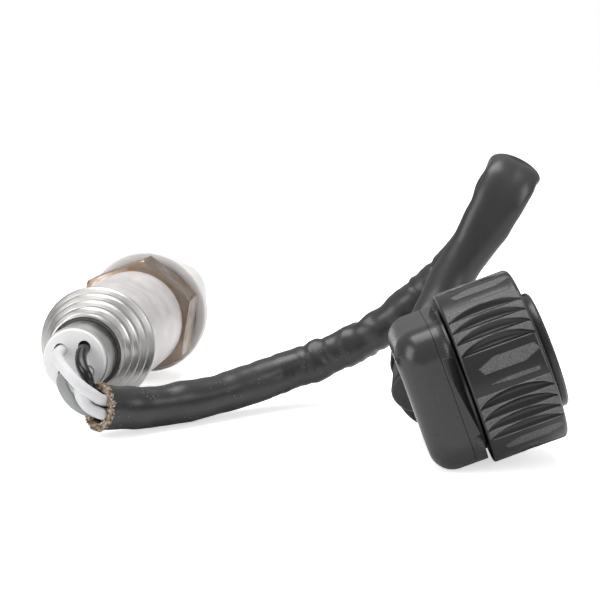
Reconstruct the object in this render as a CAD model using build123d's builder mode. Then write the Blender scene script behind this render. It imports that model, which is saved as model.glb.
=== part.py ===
"""Heated four-wire oxygen sensor with its harness and round bayonet connector.

Millimetres. The sensor lies along +Y, from its wire end to its thread cap, with
its axis at x = 0. The cap's flange and the connector stand on the floor at z = 0.
"""

import os
from math import cos, radians, sin, tan

from build123d import *

os.makedirs("parts", exist_ok=True)

# ---------------------------------------------------------------- driving sizes
# Stations run along the sensor's axis from the face of the wire grommet.

RUNNING_GAP = 0.05  # radial gap of pieces that slide into each other
SEAT_GAP = 0.1  # gap left between stacked pieces of the sensor

# Wires and grommet
WIRE_RADIUS = 1.05
WIRE_HOLE_RADIUS = WIRE_RADIUS + 0.12
WIRE_CIRCLE_RADIUS = 3.2
FIRST_WIRE_ANGLE = 37.0  # from straight up, towards +X
WIRE_ANGLES = {
    "black": FIRST_WIRE_ANGLE,
    "white_right": FIRST_WIRE_ANGLE + 90,
    "grey": FIRST_WIRE_ANGLE + 180,
    "white_left": FIRST_WIRE_ANGLE + 270,
}
GROMMET_RADIUS = 5.5
GROMMET_LENGTH = 11.5
GROMMET_LIP = 0.35
GROMMET_HEAD_THICKNESS = 0.7
GROMMET_EDGE = 0.3

# Crimp tube round the grommet
CRIMP_TUBE_WALL = 0.55
CRIMP_STATION = 9.3
CRIMP_WIDTH = 1.6
CRIMP_DEPTH = 0.35
CRIMP_FLANGE_THICKNESS = 0.5
CRIMP_TUBE_BORE = GROMMET_RADIUS + RUNNING_GAP
CRIMP_TUBE_RADIUS = CRIMP_TUBE_BORE + CRIMP_TUBE_WALL

# Barrel
BARREL_RADIUS = 10.3
BARREL_WALL = 0.6
BARREL_BORE = BARREL_RADIUS - BARREL_WALL

# Stepped end sleeve and its filter
SLEEVE_SHEET = 0.35
SLEEVE_START = 7.5
SLEEVE_SKIRT = 0.8  # straight stretch of the widest step
FILTER_WALL = 0.6
FILTER_LENGTH = 5.5
FILTER_START = SLEEVE_START + 0.6
NECK_RADIUS = CRIMP_TUBE_RADIUS + FILTER_WALL + SLEEVE_SHEET + 2 * RUNNING_GAP
RIM_RADIUS = BARREL_RADIUS + 0.85
STEP_COUNT = 4
STEP_START = 9.6
STEP_PITCH = 1.87
STEP_RUN = 0.7  # axial run of each step's slope
STEP_ROUND = 0.3
SLEEVE_END = STEP_START + STEP_PITCH * (STEP_COUNT - 1) + STEP_RUN + SLEEVE_SKIRT
BARREL_START = SLEEVE_END - SLEEVE_SHEET - 0.25

# Hexagon, washer and thread
HEX_START = 44.5
HEX_LENGTH = 9.2
HEX_ACROSS_FLATS = 22.0
HEX_CHAMFER_RADIUS = HEX_ACROSS_FLATS / 2 - 0.1
HEX_CHAMFER_ANGLE = 30.0
HEX_ANGLE = 9.0  # a corner's turn from straight up, towards +X
HEX_END = HEX_START + HEX_LENGTH
WELD_COLLAR_LENGTH = 7.0
WELD_COLLAR_RADIUS = BARREL_BORE - 0.08
THREAD_RADIUS = 9.0
THREAD_LENGTH = 9.8
THREAD_CHAMFER = 0.8
UNDERCUT_DEPTH = 0.45
UNDERCUT_LENGTH = 2.6
UNDERCUT_RADIUS = THREAD_RADIUS - UNDERCUT_DEPTH
THREAD_START = HEX_END + UNDERCUT_LENGTH
THREAD_END = THREAD_START + THREAD_LENGTH
WASHER_WIDTH = 3.05
WASHER_THICKNESS = 1.9
WASHER_SHEET = 0.4
WASHER_BORE_RADIUS = UNDERCUT_RADIUS + 0.25
WASHER_RADIUS = WASHER_BORE_RADIUS + WASHER_WIDTH
WASHER_START = HEX_END + RUNNING_GAP
WASHER_END = WASHER_START + WASHER_THICKNESS

# Shield tubes, seated in the thread's end
SHIELD_BORE_DEPTH = 8.1
SHIELD_BORE_RADIUS = THREAD_RADIUS - 2.4
SHIELD_SHEET = 0.45
SHIELD_FLANGE = 0.5
OUTER_SHIELD_RADIUS = SHIELD_BORE_RADIUS - 0.6
OUTER_SHIELD_LENGTH = 22.35
INNER_SHIELD_RADIUS = OUTER_SHIELD_RADIUS - 1.6
INNER_SHIELD_LENGTH = 20.0
SLOT_COUNT = 8
SLOT_WIDTH = 1.3
SLOT_LENGTH = 4.2
SLOT_FROM_TIP = 6.2
GAS_HOLE_COUNT = 6
GAS_HOLE_RADIUS = 0.8
GAS_HOLE_FROM_TIP = 9.0
TIP_HOLE_RADIUS = 1.2
SHOULDER_END = THREAD_END - SHIELD_BORE_DEPTH
SHIELD_SEAT = SHOULDER_END + RUNNING_GAP
OUTER_SHIELD_END = SHIELD_SEAT + OUTER_SHIELD_LENGTH
OUTER_SHIELD_BORE = OUTER_SHIELD_RADIUS - SHIELD_SHEET
INNER_FLANGE_START = SHIELD_SEAT + SHIELD_FLANGE + RUNNING_GAP
INNER_SHIELD_END = INNER_FLANGE_START + INNER_SHIELD_LENGTH
INNER_SHIELD_BORE = INNER_SHIELD_RADIUS - SHIELD_SHEET

# Ceramics in the body, one behind the other
HEATER_RADIUS = 1.6
HEATER_REACH = 13.0  # from the element's rear end into the terminal carrier
ELEMENT_BORE_RADIUS = HEATER_RADIUS + 0.15
ELEMENT_FRONT_RADIUS = INNER_SHIELD_BORE - 0.5
ELEMENT_TIP_RADIUS = ELEMENT_FRONT_RADIUS - 0.75
ELEMENT_REAR_RADIUS = ELEMENT_FRONT_RADIUS + 0.75
ELEMENT_COLLAR_RADIUS = ELEMENT_REAR_RADIUS + 1.9
ELEMENT_COLLAR_LENGTH = 5.0
ELEMENT_COLLAR_EDGE = 0.6
ELEMENT_TIP_GAP = 2.2  # to the inner shield's end
ELEMENT_TIP_WALL = 1.6
PACKING_LENGTH = 4.5
SUPPORT_LENGTH = 9.3
ELEMENT_INSET = 3.8  # of the element's rear end in the support ceramic
SHOULDER_BORE_RADIUS = ELEMENT_FRONT_RADIUS + 1.15
BODY_BORE_RADIUS = ELEMENT_REAR_RADIUS + 2.8
SHOULDER_LENGTH = 3.0
COLLAR_SEAT_END = SHOULDER_END - SHOULDER_LENGTH
COLLAR_SEAT_START = COLLAR_SEAT_END - ELEMENT_COLLAR_LENGTH
PACKING_START = COLLAR_SEAT_START - PACKING_LENGTH
SUPPORT_START = PACKING_START - SUPPORT_LENGTH
ELEMENT_START = SUPPORT_START + ELEMENT_INSET
ELEMENT_TIP = INNER_SHIELD_END - ELEMENT_TIP_GAP
ELEMENT_BORE_END = ELEMENT_TIP - ELEMENT_TIP_WALL
HEATER_START = ELEMENT_START - HEATER_REACH

# Terminal carrier between the crimp tube's flange and the support ceramic
CARRIER_GAP = 2.8  # to the support ceramic, where the springs bend to the element
CARRIER_RADIUS = BARREL_BORE - 0.3
CARRIER_WAIST_DEPTH = 1.8
CARRIER_RIM = 4.0
SPRING_WIDTH = 1.9
SPRING_THICKNESS = 0.4
SPRING_OVERHANG = 2.0
CRIMP_TUBE_END = SLEEVE_END + 0.3
CARRIER_START = CRIMP_TUBE_END + 0.7
CARRIER_END = SUPPORT_START - CARRIER_GAP
SPRING_START = CARRIER_START - SPRING_OVERHANG
SPRING_END = ELEMENT_START - 0.4
CRIMP_FLANGE_RADIUS = BARREL_BORE - 0.15

# Thread cap
CAP_FLANGE_RADIUS = 12.9
CAP_FLANGE_THICKNESS = 2.4
CAP_FLANGE_ROUND = 0.5
CAP_GRIP_GAP = 0.06
CAP_WALL = 1.15
CAP_THREAD_SPARE = 1.2
CAP_CONE_LENGTH = 3.0
CAP_SHIELD_GAP = 0.45
CAP_TIP_WALL = 1.1
CAP_TIP_SPARE = 2.5
CAP_WASHER_GAP = 0.35
CAP_START = WASHER_END + CAP_WASHER_GAP
CAP_END = OUTER_SHIELD_END + CAP_TIP_SPARE + CAP_TIP_WALL

# Connector
CONNECTOR_CENTRE = (76.8, -52.0, 16.1)  # middle of the coupling ring, on its axis
CONNECTOR_YAW = 9.4
CONNECTOR_PITCH = 20.2
HUB_RADIUS = 10.0
HUB_PROTRUSION = 1.9
HUB_EDGE_ROUND = 0.4
MOUTH_RADIUS = HUB_RADIUS - 1.6
MOUTH_DEPTH = 6.0
INSERT_SEAT_RADIUS = MOUTH_RADIUS - 0.4
RING_LENGTH = 13.2
RING_WALL = 2.3
RING_BORE_GAP = 0.08
RING_LAND_LENGTH = 4.0
RING_CAVITY_RADIUS = HUB_RADIUS + 2.6
RING_RADIUS = RING_CAVITY_RADIUS + RING_WALL
RING_ROUND = 1.3
GRIP_GROUPS = 6
FLUTES_PER_GROUP = 4
FLUTE_PITCH = 8.7
FLUTE_DEPTH = 1.0
FLUTE_ROUND = 1.25
FLUTE_SWEEP_RADIUS = 17.5
LAND_ANGLE = 168.5
LUG_COUNT = 3
LUG_ANGLE = 34.0
LUG_LENGTH = 2.2
LUG_HEIGHT = 1.0
LUG_INSET = 1.5
PLATE_GAP = 0.85
PLATE_THICKNESS = 1.95
HOUSING_SIDE = 2 * HUB_RADIUS + 4.6
HOUSING_CORNER = 5.5
CLIP_THICKNESS = 0.7
CLIP_RADIUS = HUB_RADIUS + 1.2
CLIP_GROOVE_RADIUS = HUB_RADIUS - 0.6
CLIP_OPENING = 24.0
CLIP_GAP = 0.3
SEAL_START = 1.6
SEAL_LENGTH = 3.4
SEAL_RADIUS = HUB_RADIUS + 0.75
SEAL_GROOVE_RADIUS = HUB_RADIUS - 0.7
SEAL_LIP = 0.45
INSERT_GAP = 0.1
INSERT_LENGTH = 8.8
CONTACT_COUNT = 4
CONTACT_CIRCLE_RADIUS = 4.2
CONTACT_RADIUS = 1.2
CONTACT_BORE_RADIUS = 0.8
CONTACT_INSET = 0.4
CONTACT_TAIL = 1.6
KEYWAY_WIDTH = 2.0
KEYWAY_DEPTH = 1.2
COVER_DEPTH = 6.85
COVER_WALL = 1.6
COVER_DRAFT = 12.0
COVER_REAR_ROUND = 4.0
SEAM_GAP = 0.08

# Cable outlet, on the cover's far side: place and direction in the connector's frame
OUTLET_OFFSET = (12.3, 0.8, -13.2)
OUTLET_DIRECTION = (0.89, 0.375, 0.256)
SPIGOT_BORE_RADIUS = 3.92
SPIGOT_RADIUS = SPIGOT_BORE_RADIUS + 0.58
SPIGOT_LENGTH = 6.0
SPIGOT_ROOT_DEPTH = 4.5
COLLAR_WALL = 0.55
COLLAR_OVERLAP = 3.4
COLLAR_OVERHANG = 2.4
COLLAR_LIP = 0.9
COLLAR_ROUND = 0.5

# Harness sleeve: its outside and its bore
HARNESS_RADIUS = 3.8
HARNESS_BORE_RADIUS = 3.0
HARNESS_IN_SPIGOT = 4.4
BEND_SHARE = 0.45  # of the shorter run beside a bend, which its arc takes

# ------------------------------------------------------------- frames and helpers

SENSOR_LENGTH = CAP_END
AXIS_HEIGHT = CAP_FLANGE_RADIUS
GROMMET_Y = -SENSOR_LENGTH / 2
SENSOR_ORIGIN = (0, GROMMET_Y, AXIS_HEIGHT)
SENSOR_AXIS = Axis(SENSOR_ORIGIN, (0, 1, 0))
# Local x is the station and local y the radius.
PROFILE_PLANE = Plane(origin=SENSOR_ORIGIN, x_dir=(0, 1, 0), z_dir=(1, 0, 0))

YAW = radians(CONNECTOR_YAW)
PITCH = radians(CONNECTOR_PITCH)
# Local z points at the mating side, x away to the far side and y up.
CONNECTOR = Plane(
    origin=CONNECTOR_CENTRE,
    x_dir=(-sin(YAW), cos(YAW), 0),
    z_dir=(cos(PITCH) * cos(YAW), cos(PITCH) * sin(YAW), sin(PITCH)),
)
CONNECTOR_AXIS = Axis(CONNECTOR.origin, CONNECTOR.z_dir)
CONNECTOR_PROFILE = Plane(
    origin=CONNECTOR.origin, x_dir=CONNECTOR.z_dir, z_dir=-CONNECTOR.y_dir
)


def section(station):
    """Plane across the sensor, seen from the wire end, with local y up."""
    return Plane(
        origin=(0, GROMMET_Y + station, AXIS_HEIGHT), x_dir=(1, 0, 0), z_dir=(0, -1, 0)
    )


def outline(points, plane=PROFILE_PLANE):
    """Closed face through (station, radius) points."""
    with BuildSketch(plane) as drawn:
        with BuildLine():
            Polyline(*points, close=True)
        make_face()
    return drawn.sketch


def ring_outline(start, end, inner, outer, plane=PROFILE_PLANE):
    """Cross-section of a plain ring or tube."""
    return outline([(start, inner), (end, inner), (end, outer), (start, outer)], plane)


def spot(angle, radius):
    """Place on a circle in a section, from straight up towards +X."""
    return radius * sin(radians(angle)), radius * cos(radians(angle))


# ------------------------------------------------------------------ wire grommet

with BuildPart() as wire_grommet:
    groove_start = CRIMP_STATION - CRIMP_WIDTH / 2
    groove_end = CRIMP_STATION + CRIMP_WIDTH / 2
    revolve(
        outline(
            [
                (0, 0),
                (GROMMET_LENGTH, 0),
                (GROMMET_LENGTH, GROMMET_RADIUS),
                (groove_end, GROMMET_RADIUS),
                (CRIMP_STATION, GROMMET_RADIUS - CRIMP_DEPTH),
                (groove_start, GROMMET_RADIUS),
                (GROMMET_HEAD_THICKNESS, GROMMET_RADIUS),
                (GROMMET_HEAD_THICKNESS, GROMMET_RADIUS + GROMMET_LIP),
                (GROMMET_EDGE, GROMMET_RADIUS + GROMMET_LIP),
                (0, GROMMET_RADIUS + GROMMET_LIP - GROMMET_EDGE),
            ]
        ),
        axis=SENSOR_AXIS,
    )
    with BuildSketch(section(0)):
        with Locations(*[spot(a, WIRE_CIRCLE_RADIUS) for a in WIRE_ANGLES.values()]):
            Circle(WIRE_HOLE_RADIUS)
    extrude(amount=-GROMMET_LENGTH, mode=Mode.SUBTRACT)

# -------------------------------------------------------------------- crimp tube

with BuildPart() as crimp_tube:
    flange_start = CRIMP_TUBE_END - CRIMP_FLANGE_THICKNESS
    tube_start = GROMMET_HEAD_THICKNESS + RUNNING_GAP
    revolve(
        outline(
            [
                (tube_start, CRIMP_TUBE_BORE),
                (groove_start, CRIMP_TUBE_BORE),
                (CRIMP_STATION, CRIMP_TUBE_BORE - CRIMP_DEPTH),
                (groove_end, CRIMP_TUBE_BORE),
                (CRIMP_TUBE_END, CRIMP_TUBE_BORE),
                (CRIMP_TUBE_END, CRIMP_FLANGE_RADIUS),
                (flange_start, CRIMP_FLANGE_RADIUS),
                (flange_start, CRIMP_TUBE_RADIUS),
                (groove_end, CRIMP_TUBE_RADIUS),
                (CRIMP_STATION, CRIMP_TUBE_RADIUS - CRIMP_DEPTH),
                (groove_start, CRIMP_TUBE_RADIUS),
                (tube_start, CRIMP_TUBE_RADIUS),
            ]
        ),
        axis=SENSOR_AXIS,
    )

# ------------------------------------------------------------ stepped end sleeve

STEP_HEIGHT = (RIM_RADIUS - NECK_RADIUS) / STEP_COUNT


def stepped_face(inset):
    """Half section under the stepped surface, pushed in by inset."""
    profile = [(SLEEVE_START, NECK_RADIUS - inset)]
    for step in range(STEP_COUNT):
        station = STEP_START + STEP_PITCH * step + inset
        radius = NECK_RADIUS + STEP_HEIGHT * step - inset
        profile.append((station, radius))
        profile.append((station + STEP_RUN, radius + STEP_HEIGHT))
    profile.append((SLEEVE_END, RIM_RADIUS - inset))
    with BuildSketch(PROFILE_PLANE) as drawn:
        with BuildLine():
            FilletPolyline(*profile, radius=STEP_ROUND)
            Polyline(profile[-1], (SLEEVE_END, 0), (SLEEVE_START, 0), profile[0])
        make_face()
    return drawn.sketch


with BuildPart() as stepped_sleeve:
    revolve(stepped_face(0), axis=SENSOR_AXIS)
    revolve(stepped_face(SLEEVE_SHEET), axis=SENSOR_AXIS, mode=Mode.SUBTRACT)
    # The skirt is rolled in onto the barrel.
    revolve(
        ring_outline(
            SLEEVE_END - SLEEVE_SHEET,
            SLEEVE_END,
            BARREL_RADIUS + RUNNING_GAP,
            RIM_RADIUS - SLEEVE_SHEET / 2,
        ),
        axis=SENSOR_AXIS,
    )

with BuildPart() as vent_filter:
    revolve(
        ring_outline(
            FILTER_START,
            FILTER_START + FILTER_LENGTH,
            CRIMP_TUBE_RADIUS + RUNNING_GAP,
            NECK_RADIUS - SLEEVE_SHEET - RUNNING_GAP,
        ),
        axis=SENSOR_AXIS,
    )

# ----------------------------------------------------------------- barrel sleeve

with BuildPart() as barrel_sleeve:
    revolve(
        ring_outline(BARREL_START, HEX_START, BARREL_BORE, BARREL_RADIUS),
        axis=SENSOR_AXIS,
    )

# ------------------------------------------------------------------- sensor body

HEX_CORNER_RADIUS = HEX_ACROSS_FLATS / 2 / cos(radians(30))
CHAMFER_RUN = (HEX_CORNER_RADIUS - HEX_CHAMFER_RADIUS) * tan(radians(HEX_CHAMFER_ANGLE))

with BuildPart() as sensor_body:
    with BuildSketch(section(HEX_START)):
        # A corner at the hexagon's angle, measured from straight up towards +X.
        RegularPolygon(
            HEX_ACROSS_FLATS / 2, 6, major_radius=False, rotation=90 - HEX_ANGLE
        )
    extrude(amount=-HEX_LENGTH)
    # Both faces are chamfered as one turned envelope.
    revolve(
        outline(
            [
                (HEX_START, 0),
                (HEX_END, 0),
                (HEX_END, HEX_CHAMFER_RADIUS),
                (HEX_END - CHAMFER_RUN, HEX_CORNER_RADIUS),
                (HEX_START + CHAMFER_RUN, HEX_CORNER_RADIUS),
                (HEX_START, HEX_CHAMFER_RADIUS),
            ]
        ),
        axis=SENSOR_AXIS,
        mode=Mode.INTERSECT,
    )
    revolve(
        outline(
            [
                (HEX_START - WELD_COLLAR_LENGTH, 0),
                (THREAD_END, 0),
                (THREAD_END, THREAD_RADIUS - THREAD_CHAMFER),
                (THREAD_END - THREAD_CHAMFER, THREAD_RADIUS),
                (THREAD_START, THREAD_RADIUS),
                (THREAD_START - UNDERCUT_DEPTH, UNDERCUT_RADIUS),
                (HEX_END - 1, UNDERCUT_RADIUS),
                (HEX_START + 1, WELD_COLLAR_RADIUS),
                (HEX_START - WELD_COLLAR_LENGTH, WELD_COLLAR_RADIUS),
            ]
        ),
        axis=SENSOR_AXIS,
    )
    revolve(
        outline(
            [
                (HEX_START - WELD_COLLAR_LENGTH, 0),
                (THREAD_END, 0),
                (THREAD_END, SHIELD_BORE_RADIUS),
                (SHOULDER_END, SHIELD_BORE_RADIUS),
                (SHOULDER_END, SHOULDER_BORE_RADIUS),
                (COLLAR_SEAT_END, SHOULDER_BORE_RADIUS),
                (COLLAR_SEAT_END, ELEMENT_COLLAR_RADIUS + SEAT_GAP),
                (COLLAR_SEAT_START, ELEMENT_COLLAR_RADIUS + SEAT_GAP),
                (COLLAR_SEAT_START, BODY_BORE_RADIUS),
                (HEX_START - WELD_COLLAR_LENGTH, BODY_BORE_RADIUS),
            ]
        ),
        axis=SENSOR_AXIS,
        mode=Mode.SUBTRACT,
    )

# --------------------------------------------------------------- sealing washer
# A folded steel ring, open towards its bore, that crushes when the sensor is fitted.

with BuildPart() as sealing_washer:
    revolve(
        ring_outline(WASHER_START, WASHER_END, WASHER_BORE_RADIUS, WASHER_RADIUS),
        axis=SENSOR_AXIS,
    )
    rim_edges = sealing_washer.edges().filter_by(GeomType.CIRCLE)
    fillet(
        rim_edges.filter_by(lambda e: e.radius > WASHER_RADIUS - 0.01),
        WASHER_THICKNESS / 2 - 0.05,
    )
    revolve(
        ring_outline(
            WASHER_START + WASHER_SHEET,
            WASHER_END - WASHER_SHEET,
            WASHER_BORE_RADIUS,
            WASHER_RADIUS - 2 * WASHER_SHEET,
        ),
        axis=SENSOR_AXIS,
        mode=Mode.SUBTRACT,
    )

# ------------------------------------------------------------------ shield tubes

def shield_outline(start, end, radius, flange_radius):
    """Closed tube with a foot flange and a holed end."""
    return outline(
        [
            (start, radius - SHIELD_SHEET),
            (end - SHIELD_SHEET, radius - SHIELD_SHEET),
            (end - SHIELD_SHEET, TIP_HOLE_RADIUS),
            (end, TIP_HOLE_RADIUS),
            (end, radius - SHIELD_SHEET),
            (end - SHIELD_SHEET, radius),
            (start + SHIELD_FLANGE, radius),
            (start + SHIELD_FLANGE, flange_radius),
            (start, flange_radius),
        ]
    )


with BuildPart() as outer_shield:
    revolve(
        shield_outline(
            SHIELD_SEAT,
            OUTER_SHIELD_END,
            OUTER_SHIELD_RADIUS,
            SHIELD_BORE_RADIUS - RUNNING_GAP,
        ),
        axis=SENSOR_AXIS,
    )
    for turn in range(SLOT_COUNT // 2):
        slot_centre = section(OUTER_SHIELD_END - SLOT_FROM_TIP).origin
        slot_plane = Plane(slot_centre, x_dir=(0, 1, 0), z_dir=(0, 0, 1))
        with BuildSketch(slot_plane.rotated((turn * 360 / SLOT_COUNT, 0, 0))):
            SlotOverall(SLOT_LENGTH, SLOT_WIDTH)
        extrude(amount=OUTER_SHIELD_RADIUS + 1, both=True, mode=Mode.SUBTRACT)

with BuildPart() as inner_shield:
    revolve(
        shield_outline(
            INNER_FLANGE_START,
            INNER_SHIELD_END,
            INNER_SHIELD_RADIUS,
            OUTER_SHIELD_BORE - RUNNING_GAP,
        ),
        axis=SENSOR_AXIS,
    )
    for turn in range(GAS_HOLE_COUNT // 2):
        hole_centre = section(INNER_SHIELD_END - GAS_HOLE_FROM_TIP).origin
        hole_plane = Plane(hole_centre, x_dir=(0, 1, 0), z_dir=(0, 0, 1))
        with BuildSketch(hole_plane.rotated((turn * 360 / GAS_HOLE_COUNT, 0, 0))):
            Circle(GAS_HOLE_RADIUS)
        extrude(amount=INNER_SHIELD_RADIUS + 1, both=True, mode=Mode.SUBTRACT)

# ---------------------------------------------------------------------- ceramics

COLLAR_START = COLLAR_SEAT_START + SEAT_GAP
COLLAR_END = COLLAR_SEAT_END - SEAT_GAP

with BuildPart() as sensing_element:
    revolve(
        outline(
            [
                (ELEMENT_START, ELEMENT_BORE_RADIUS),
                (ELEMENT_BORE_END, ELEMENT_BORE_RADIUS),
                (ELEMENT_BORE_END, 0),
                (ELEMENT_TIP, 0),
                (ELEMENT_TIP, ELEMENT_TIP_RADIUS),
                (COLLAR_END + 1, ELEMENT_FRONT_RADIUS),
                (COLLAR_END, ELEMENT_FRONT_RADIUS),
                (COLLAR_END, ELEMENT_COLLAR_RADIUS - ELEMENT_COLLAR_EDGE),
                (COLLAR_END - ELEMENT_COLLAR_EDGE, ELEMENT_COLLAR_RADIUS),
                (COLLAR_START + ELEMENT_COLLAR_EDGE, ELEMENT_COLLAR_RADIUS),
                (COLLAR_START, ELEMENT_COLLAR_RADIUS - ELEMENT_COLLAR_EDGE),
                (COLLAR_START, ELEMENT_REAR_RADIUS),
                (ELEMENT_START, ELEMENT_REAR_RADIUS),
            ]
        ),
        axis=SENSOR_AXIS,
    )
    tip_edge = sensing_element.edges().filter_by(GeomType.CIRCLE).sort_by(Axis.Y)[-1]
    fillet(tip_edge, ELEMENT_TIP_RADIUS * 0.8)

with BuildPart() as heater_rod:
    with BuildSketch(section(HEATER_START)):
        Circle(HEATER_RADIUS)
    extrude(amount=-(ELEMENT_BORE_END - SEAT_GAP - HEATER_START))
    chamfer(heater_rod.edges().filter_by(GeomType.CIRCLE), 0.3)

with BuildPart() as packing_ring:
    revolve(
        ring_outline(
            PACKING_START,
            COLLAR_SEAT_START,
            ELEMENT_REAR_RADIUS + RUNNING_GAP,
            BODY_BORE_RADIUS - RUNNING_GAP,
        ),
        axis=SENSOR_AXIS,
    )

with BuildPart() as support_ceramic:
    revolve(
        ring_outline(
            SUPPORT_START,
            PACKING_START - RUNNING_GAP,
            ELEMENT_REAR_RADIUS + SEAT_GAP,
            BODY_BORE_RADIUS - RUNNING_GAP,
        ),
        axis=SENSOR_AXIS,
    )
    chamfer(support_ceramic.edges().group_by(Axis.Y)[0], 0.4)

# -------------------------------------------- terminal carrier and contact springs

CARRIER_WAIST_RADIUS = CARRIER_RADIUS - CARRIER_WAIST_DEPTH

with BuildPart() as terminal_carrier:
    waist = (CARRIER_START + CARRIER_RIM, CARRIER_END - CARRIER_RIM)
    revolve(
        outline(
            [
                (CARRIER_START, 0),
                (CARRIER_END, 0),
                (CARRIER_END, CARRIER_RADIUS),
                (waist[1], CARRIER_RADIUS),
                (waist[1] - 1, CARRIER_WAIST_RADIUS),
                (waist[0] + 1, CARRIER_WAIST_RADIUS),
                (waist[0], CARRIER_RADIUS),
                (CARRIER_START, CARRIER_RADIUS),
            ]
        ),
        axis=SENSOR_AXIS,
    )
    with BuildSketch(section(CARRIER_START)):
        Circle(HEATER_RADIUS + SEAT_GAP)
        for angle in WIRE_ANGLES.values():
            with Locations(spot(angle, WIRE_CIRCLE_RADIUS)):
                Rectangle(
                    SPRING_WIDTH + 2 * SEAT_GAP,
                    SPRING_THICKNESS + 2 * SEAT_GAP,
                    rotation=-angle,
                )
    extrude(amount=CARRIER_START - CARRIER_END, mode=Mode.SUBTRACT)

with BuildPart() as contact_springs:
    for angle in WIRE_ANGLES.values():
        with BuildSketch(section(SPRING_START)):
            with Locations(spot(angle, WIRE_CIRCLE_RADIUS)):
                Rectangle(SPRING_WIDTH, SPRING_THICKNESS, rotation=-angle)
        extrude(amount=-(SPRING_END - SPRING_START))
    spring_tips = contact_springs.edges().group_by(Axis.Y)[-1]
    chamfer(spring_tips, SPRING_THICKNESS / 4)

# -------------------------------------------------------------------- thread cap

CAP_BORE = THREAD_RADIUS + CAP_GRIP_GAP
CAP_TIP_BORE = OUTER_SHIELD_RADIUS + CAP_SHIELD_GAP
CAP_CONE_START = THREAD_END + CAP_THREAD_SPARE
CAP_CONE_END = CAP_CONE_START + CAP_CONE_LENGTH

with BuildPart() as thread_cap:
    revolve(
        outline(
            [
                (CAP_START, CAP_BORE),
                (CAP_CONE_START - CAP_WALL / 2, CAP_BORE),
                (CAP_CONE_END - CAP_WALL / 2, CAP_TIP_BORE),
                (CAP_END - CAP_TIP_WALL, CAP_TIP_BORE),
                (CAP_END - CAP_TIP_WALL, 0),
                (CAP_END, 0),
                (CAP_END, CAP_TIP_BORE + CAP_WALL),
                (CAP_CONE_END, CAP_TIP_BORE + CAP_WALL),
                (CAP_CONE_START, CAP_BORE + CAP_WALL),
                (CAP_START + CAP_FLANGE_THICKNESS, CAP_BORE + CAP_WALL),
                (CAP_START + CAP_FLANGE_THICKNESS, CAP_FLANGE_RADIUS),
                (CAP_START, CAP_FLANGE_RADIUS),
            ]
        ),
        axis=SENSOR_AXIS,
    )
    cap_circles = thread_cap.edges().filter_by(GeomType.CIRCLE)
    fillet(
        cap_circles.filter_by(lambda e: e.radius > CAP_FLANGE_RADIUS - 0.01),
        CAP_FLANGE_ROUND,
    )
    tip_circle = thread_cap.edges().filter_by(GeomType.CIRCLE).group_by(Axis.Y)[-1]
    fillet(tip_circle, CAP_TIP_WALL * 0.9)

# ----------------------------------------------------------------- connector body

RING_START = -RING_LENGTH / 2
RING_END = RING_LENGTH / 2
PLATE_FRONT = RING_START - PLATE_GAP
PLATE_BACK = PLATE_FRONT - PLATE_THICKNESS
HUB_END = RING_END + HUB_PROTRUSION
CLIP_START = RING_START + RING_LAND_LENGTH + CLIP_GAP
INSERT_FACE = HUB_END - MOUTH_DEPTH
INSERT_START = INSERT_FACE - INSERT_LENGTH

with BuildPart() as plug_body:
    with BuildSketch(CONNECTOR.offset(PLATE_BACK)):
        RectangleRounded(HOUSING_SIDE, HOUSING_SIDE, HOUSING_CORNER)
    extrude(amount=PLATE_THICKNESS)
    revolve(
        outline(
            [
                (PLATE_FRONT - 0.5, 0),
                (HUB_END, 0),
                (HUB_END, HUB_RADIUS - HUB_EDGE_ROUND),
                (HUB_END - HUB_EDGE_ROUND, HUB_RADIUS),
                (SEAL_START + SEAL_LENGTH, HUB_RADIUS),
                (SEAL_START + SEAL_LENGTH, SEAL_GROOVE_RADIUS),
                (SEAL_START, SEAL_GROOVE_RADIUS),
                (SEAL_START, HUB_RADIUS),
                (CLIP_START + CLIP_THICKNESS + RUNNING_GAP, HUB_RADIUS),
                (CLIP_START + CLIP_THICKNESS + RUNNING_GAP, CLIP_GROOVE_RADIUS),
                (CLIP_START - RUNNING_GAP, CLIP_GROOVE_RADIUS),
                (CLIP_START - RUNNING_GAP, HUB_RADIUS),
                (PLATE_FRONT - 0.5, HUB_RADIUS),
            ],
            CONNECTOR_PROFILE,
        ),
        axis=CONNECTOR_AXIS,
    )
    with BuildSketch(CONNECTOR.offset(PLATE_BACK)):
        Circle(INSERT_SEAT_RADIUS)
    extrude(amount=HUB_END - PLATE_BACK, mode=Mode.SUBTRACT)
    with BuildSketch(CONNECTOR.offset(INSERT_FACE)):
        Circle(MOUTH_RADIUS)
    extrude(amount=MOUTH_DEPTH, mode=Mode.SUBTRACT)

with BuildPart() as ring_clip:
    with BuildSketch(CONNECTOR.offset(CLIP_START)):
        Circle(CLIP_RADIUS)
        Circle(CLIP_GROOVE_RADIUS + RUNNING_GAP, mode=Mode.SUBTRACT)
        with BuildLine():
            half = radians(CLIP_OPENING / 2)
            reach = CLIP_RADIUS + 1
            Polyline(
                (0, 0),
                (reach * cos(half), reach * sin(half)),
                (reach * cos(half), -reach * sin(half)),
                close=True,
            )
        make_face(mode=Mode.SUBTRACT)
    extrude(amount=CLIP_THICKNESS)

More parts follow.
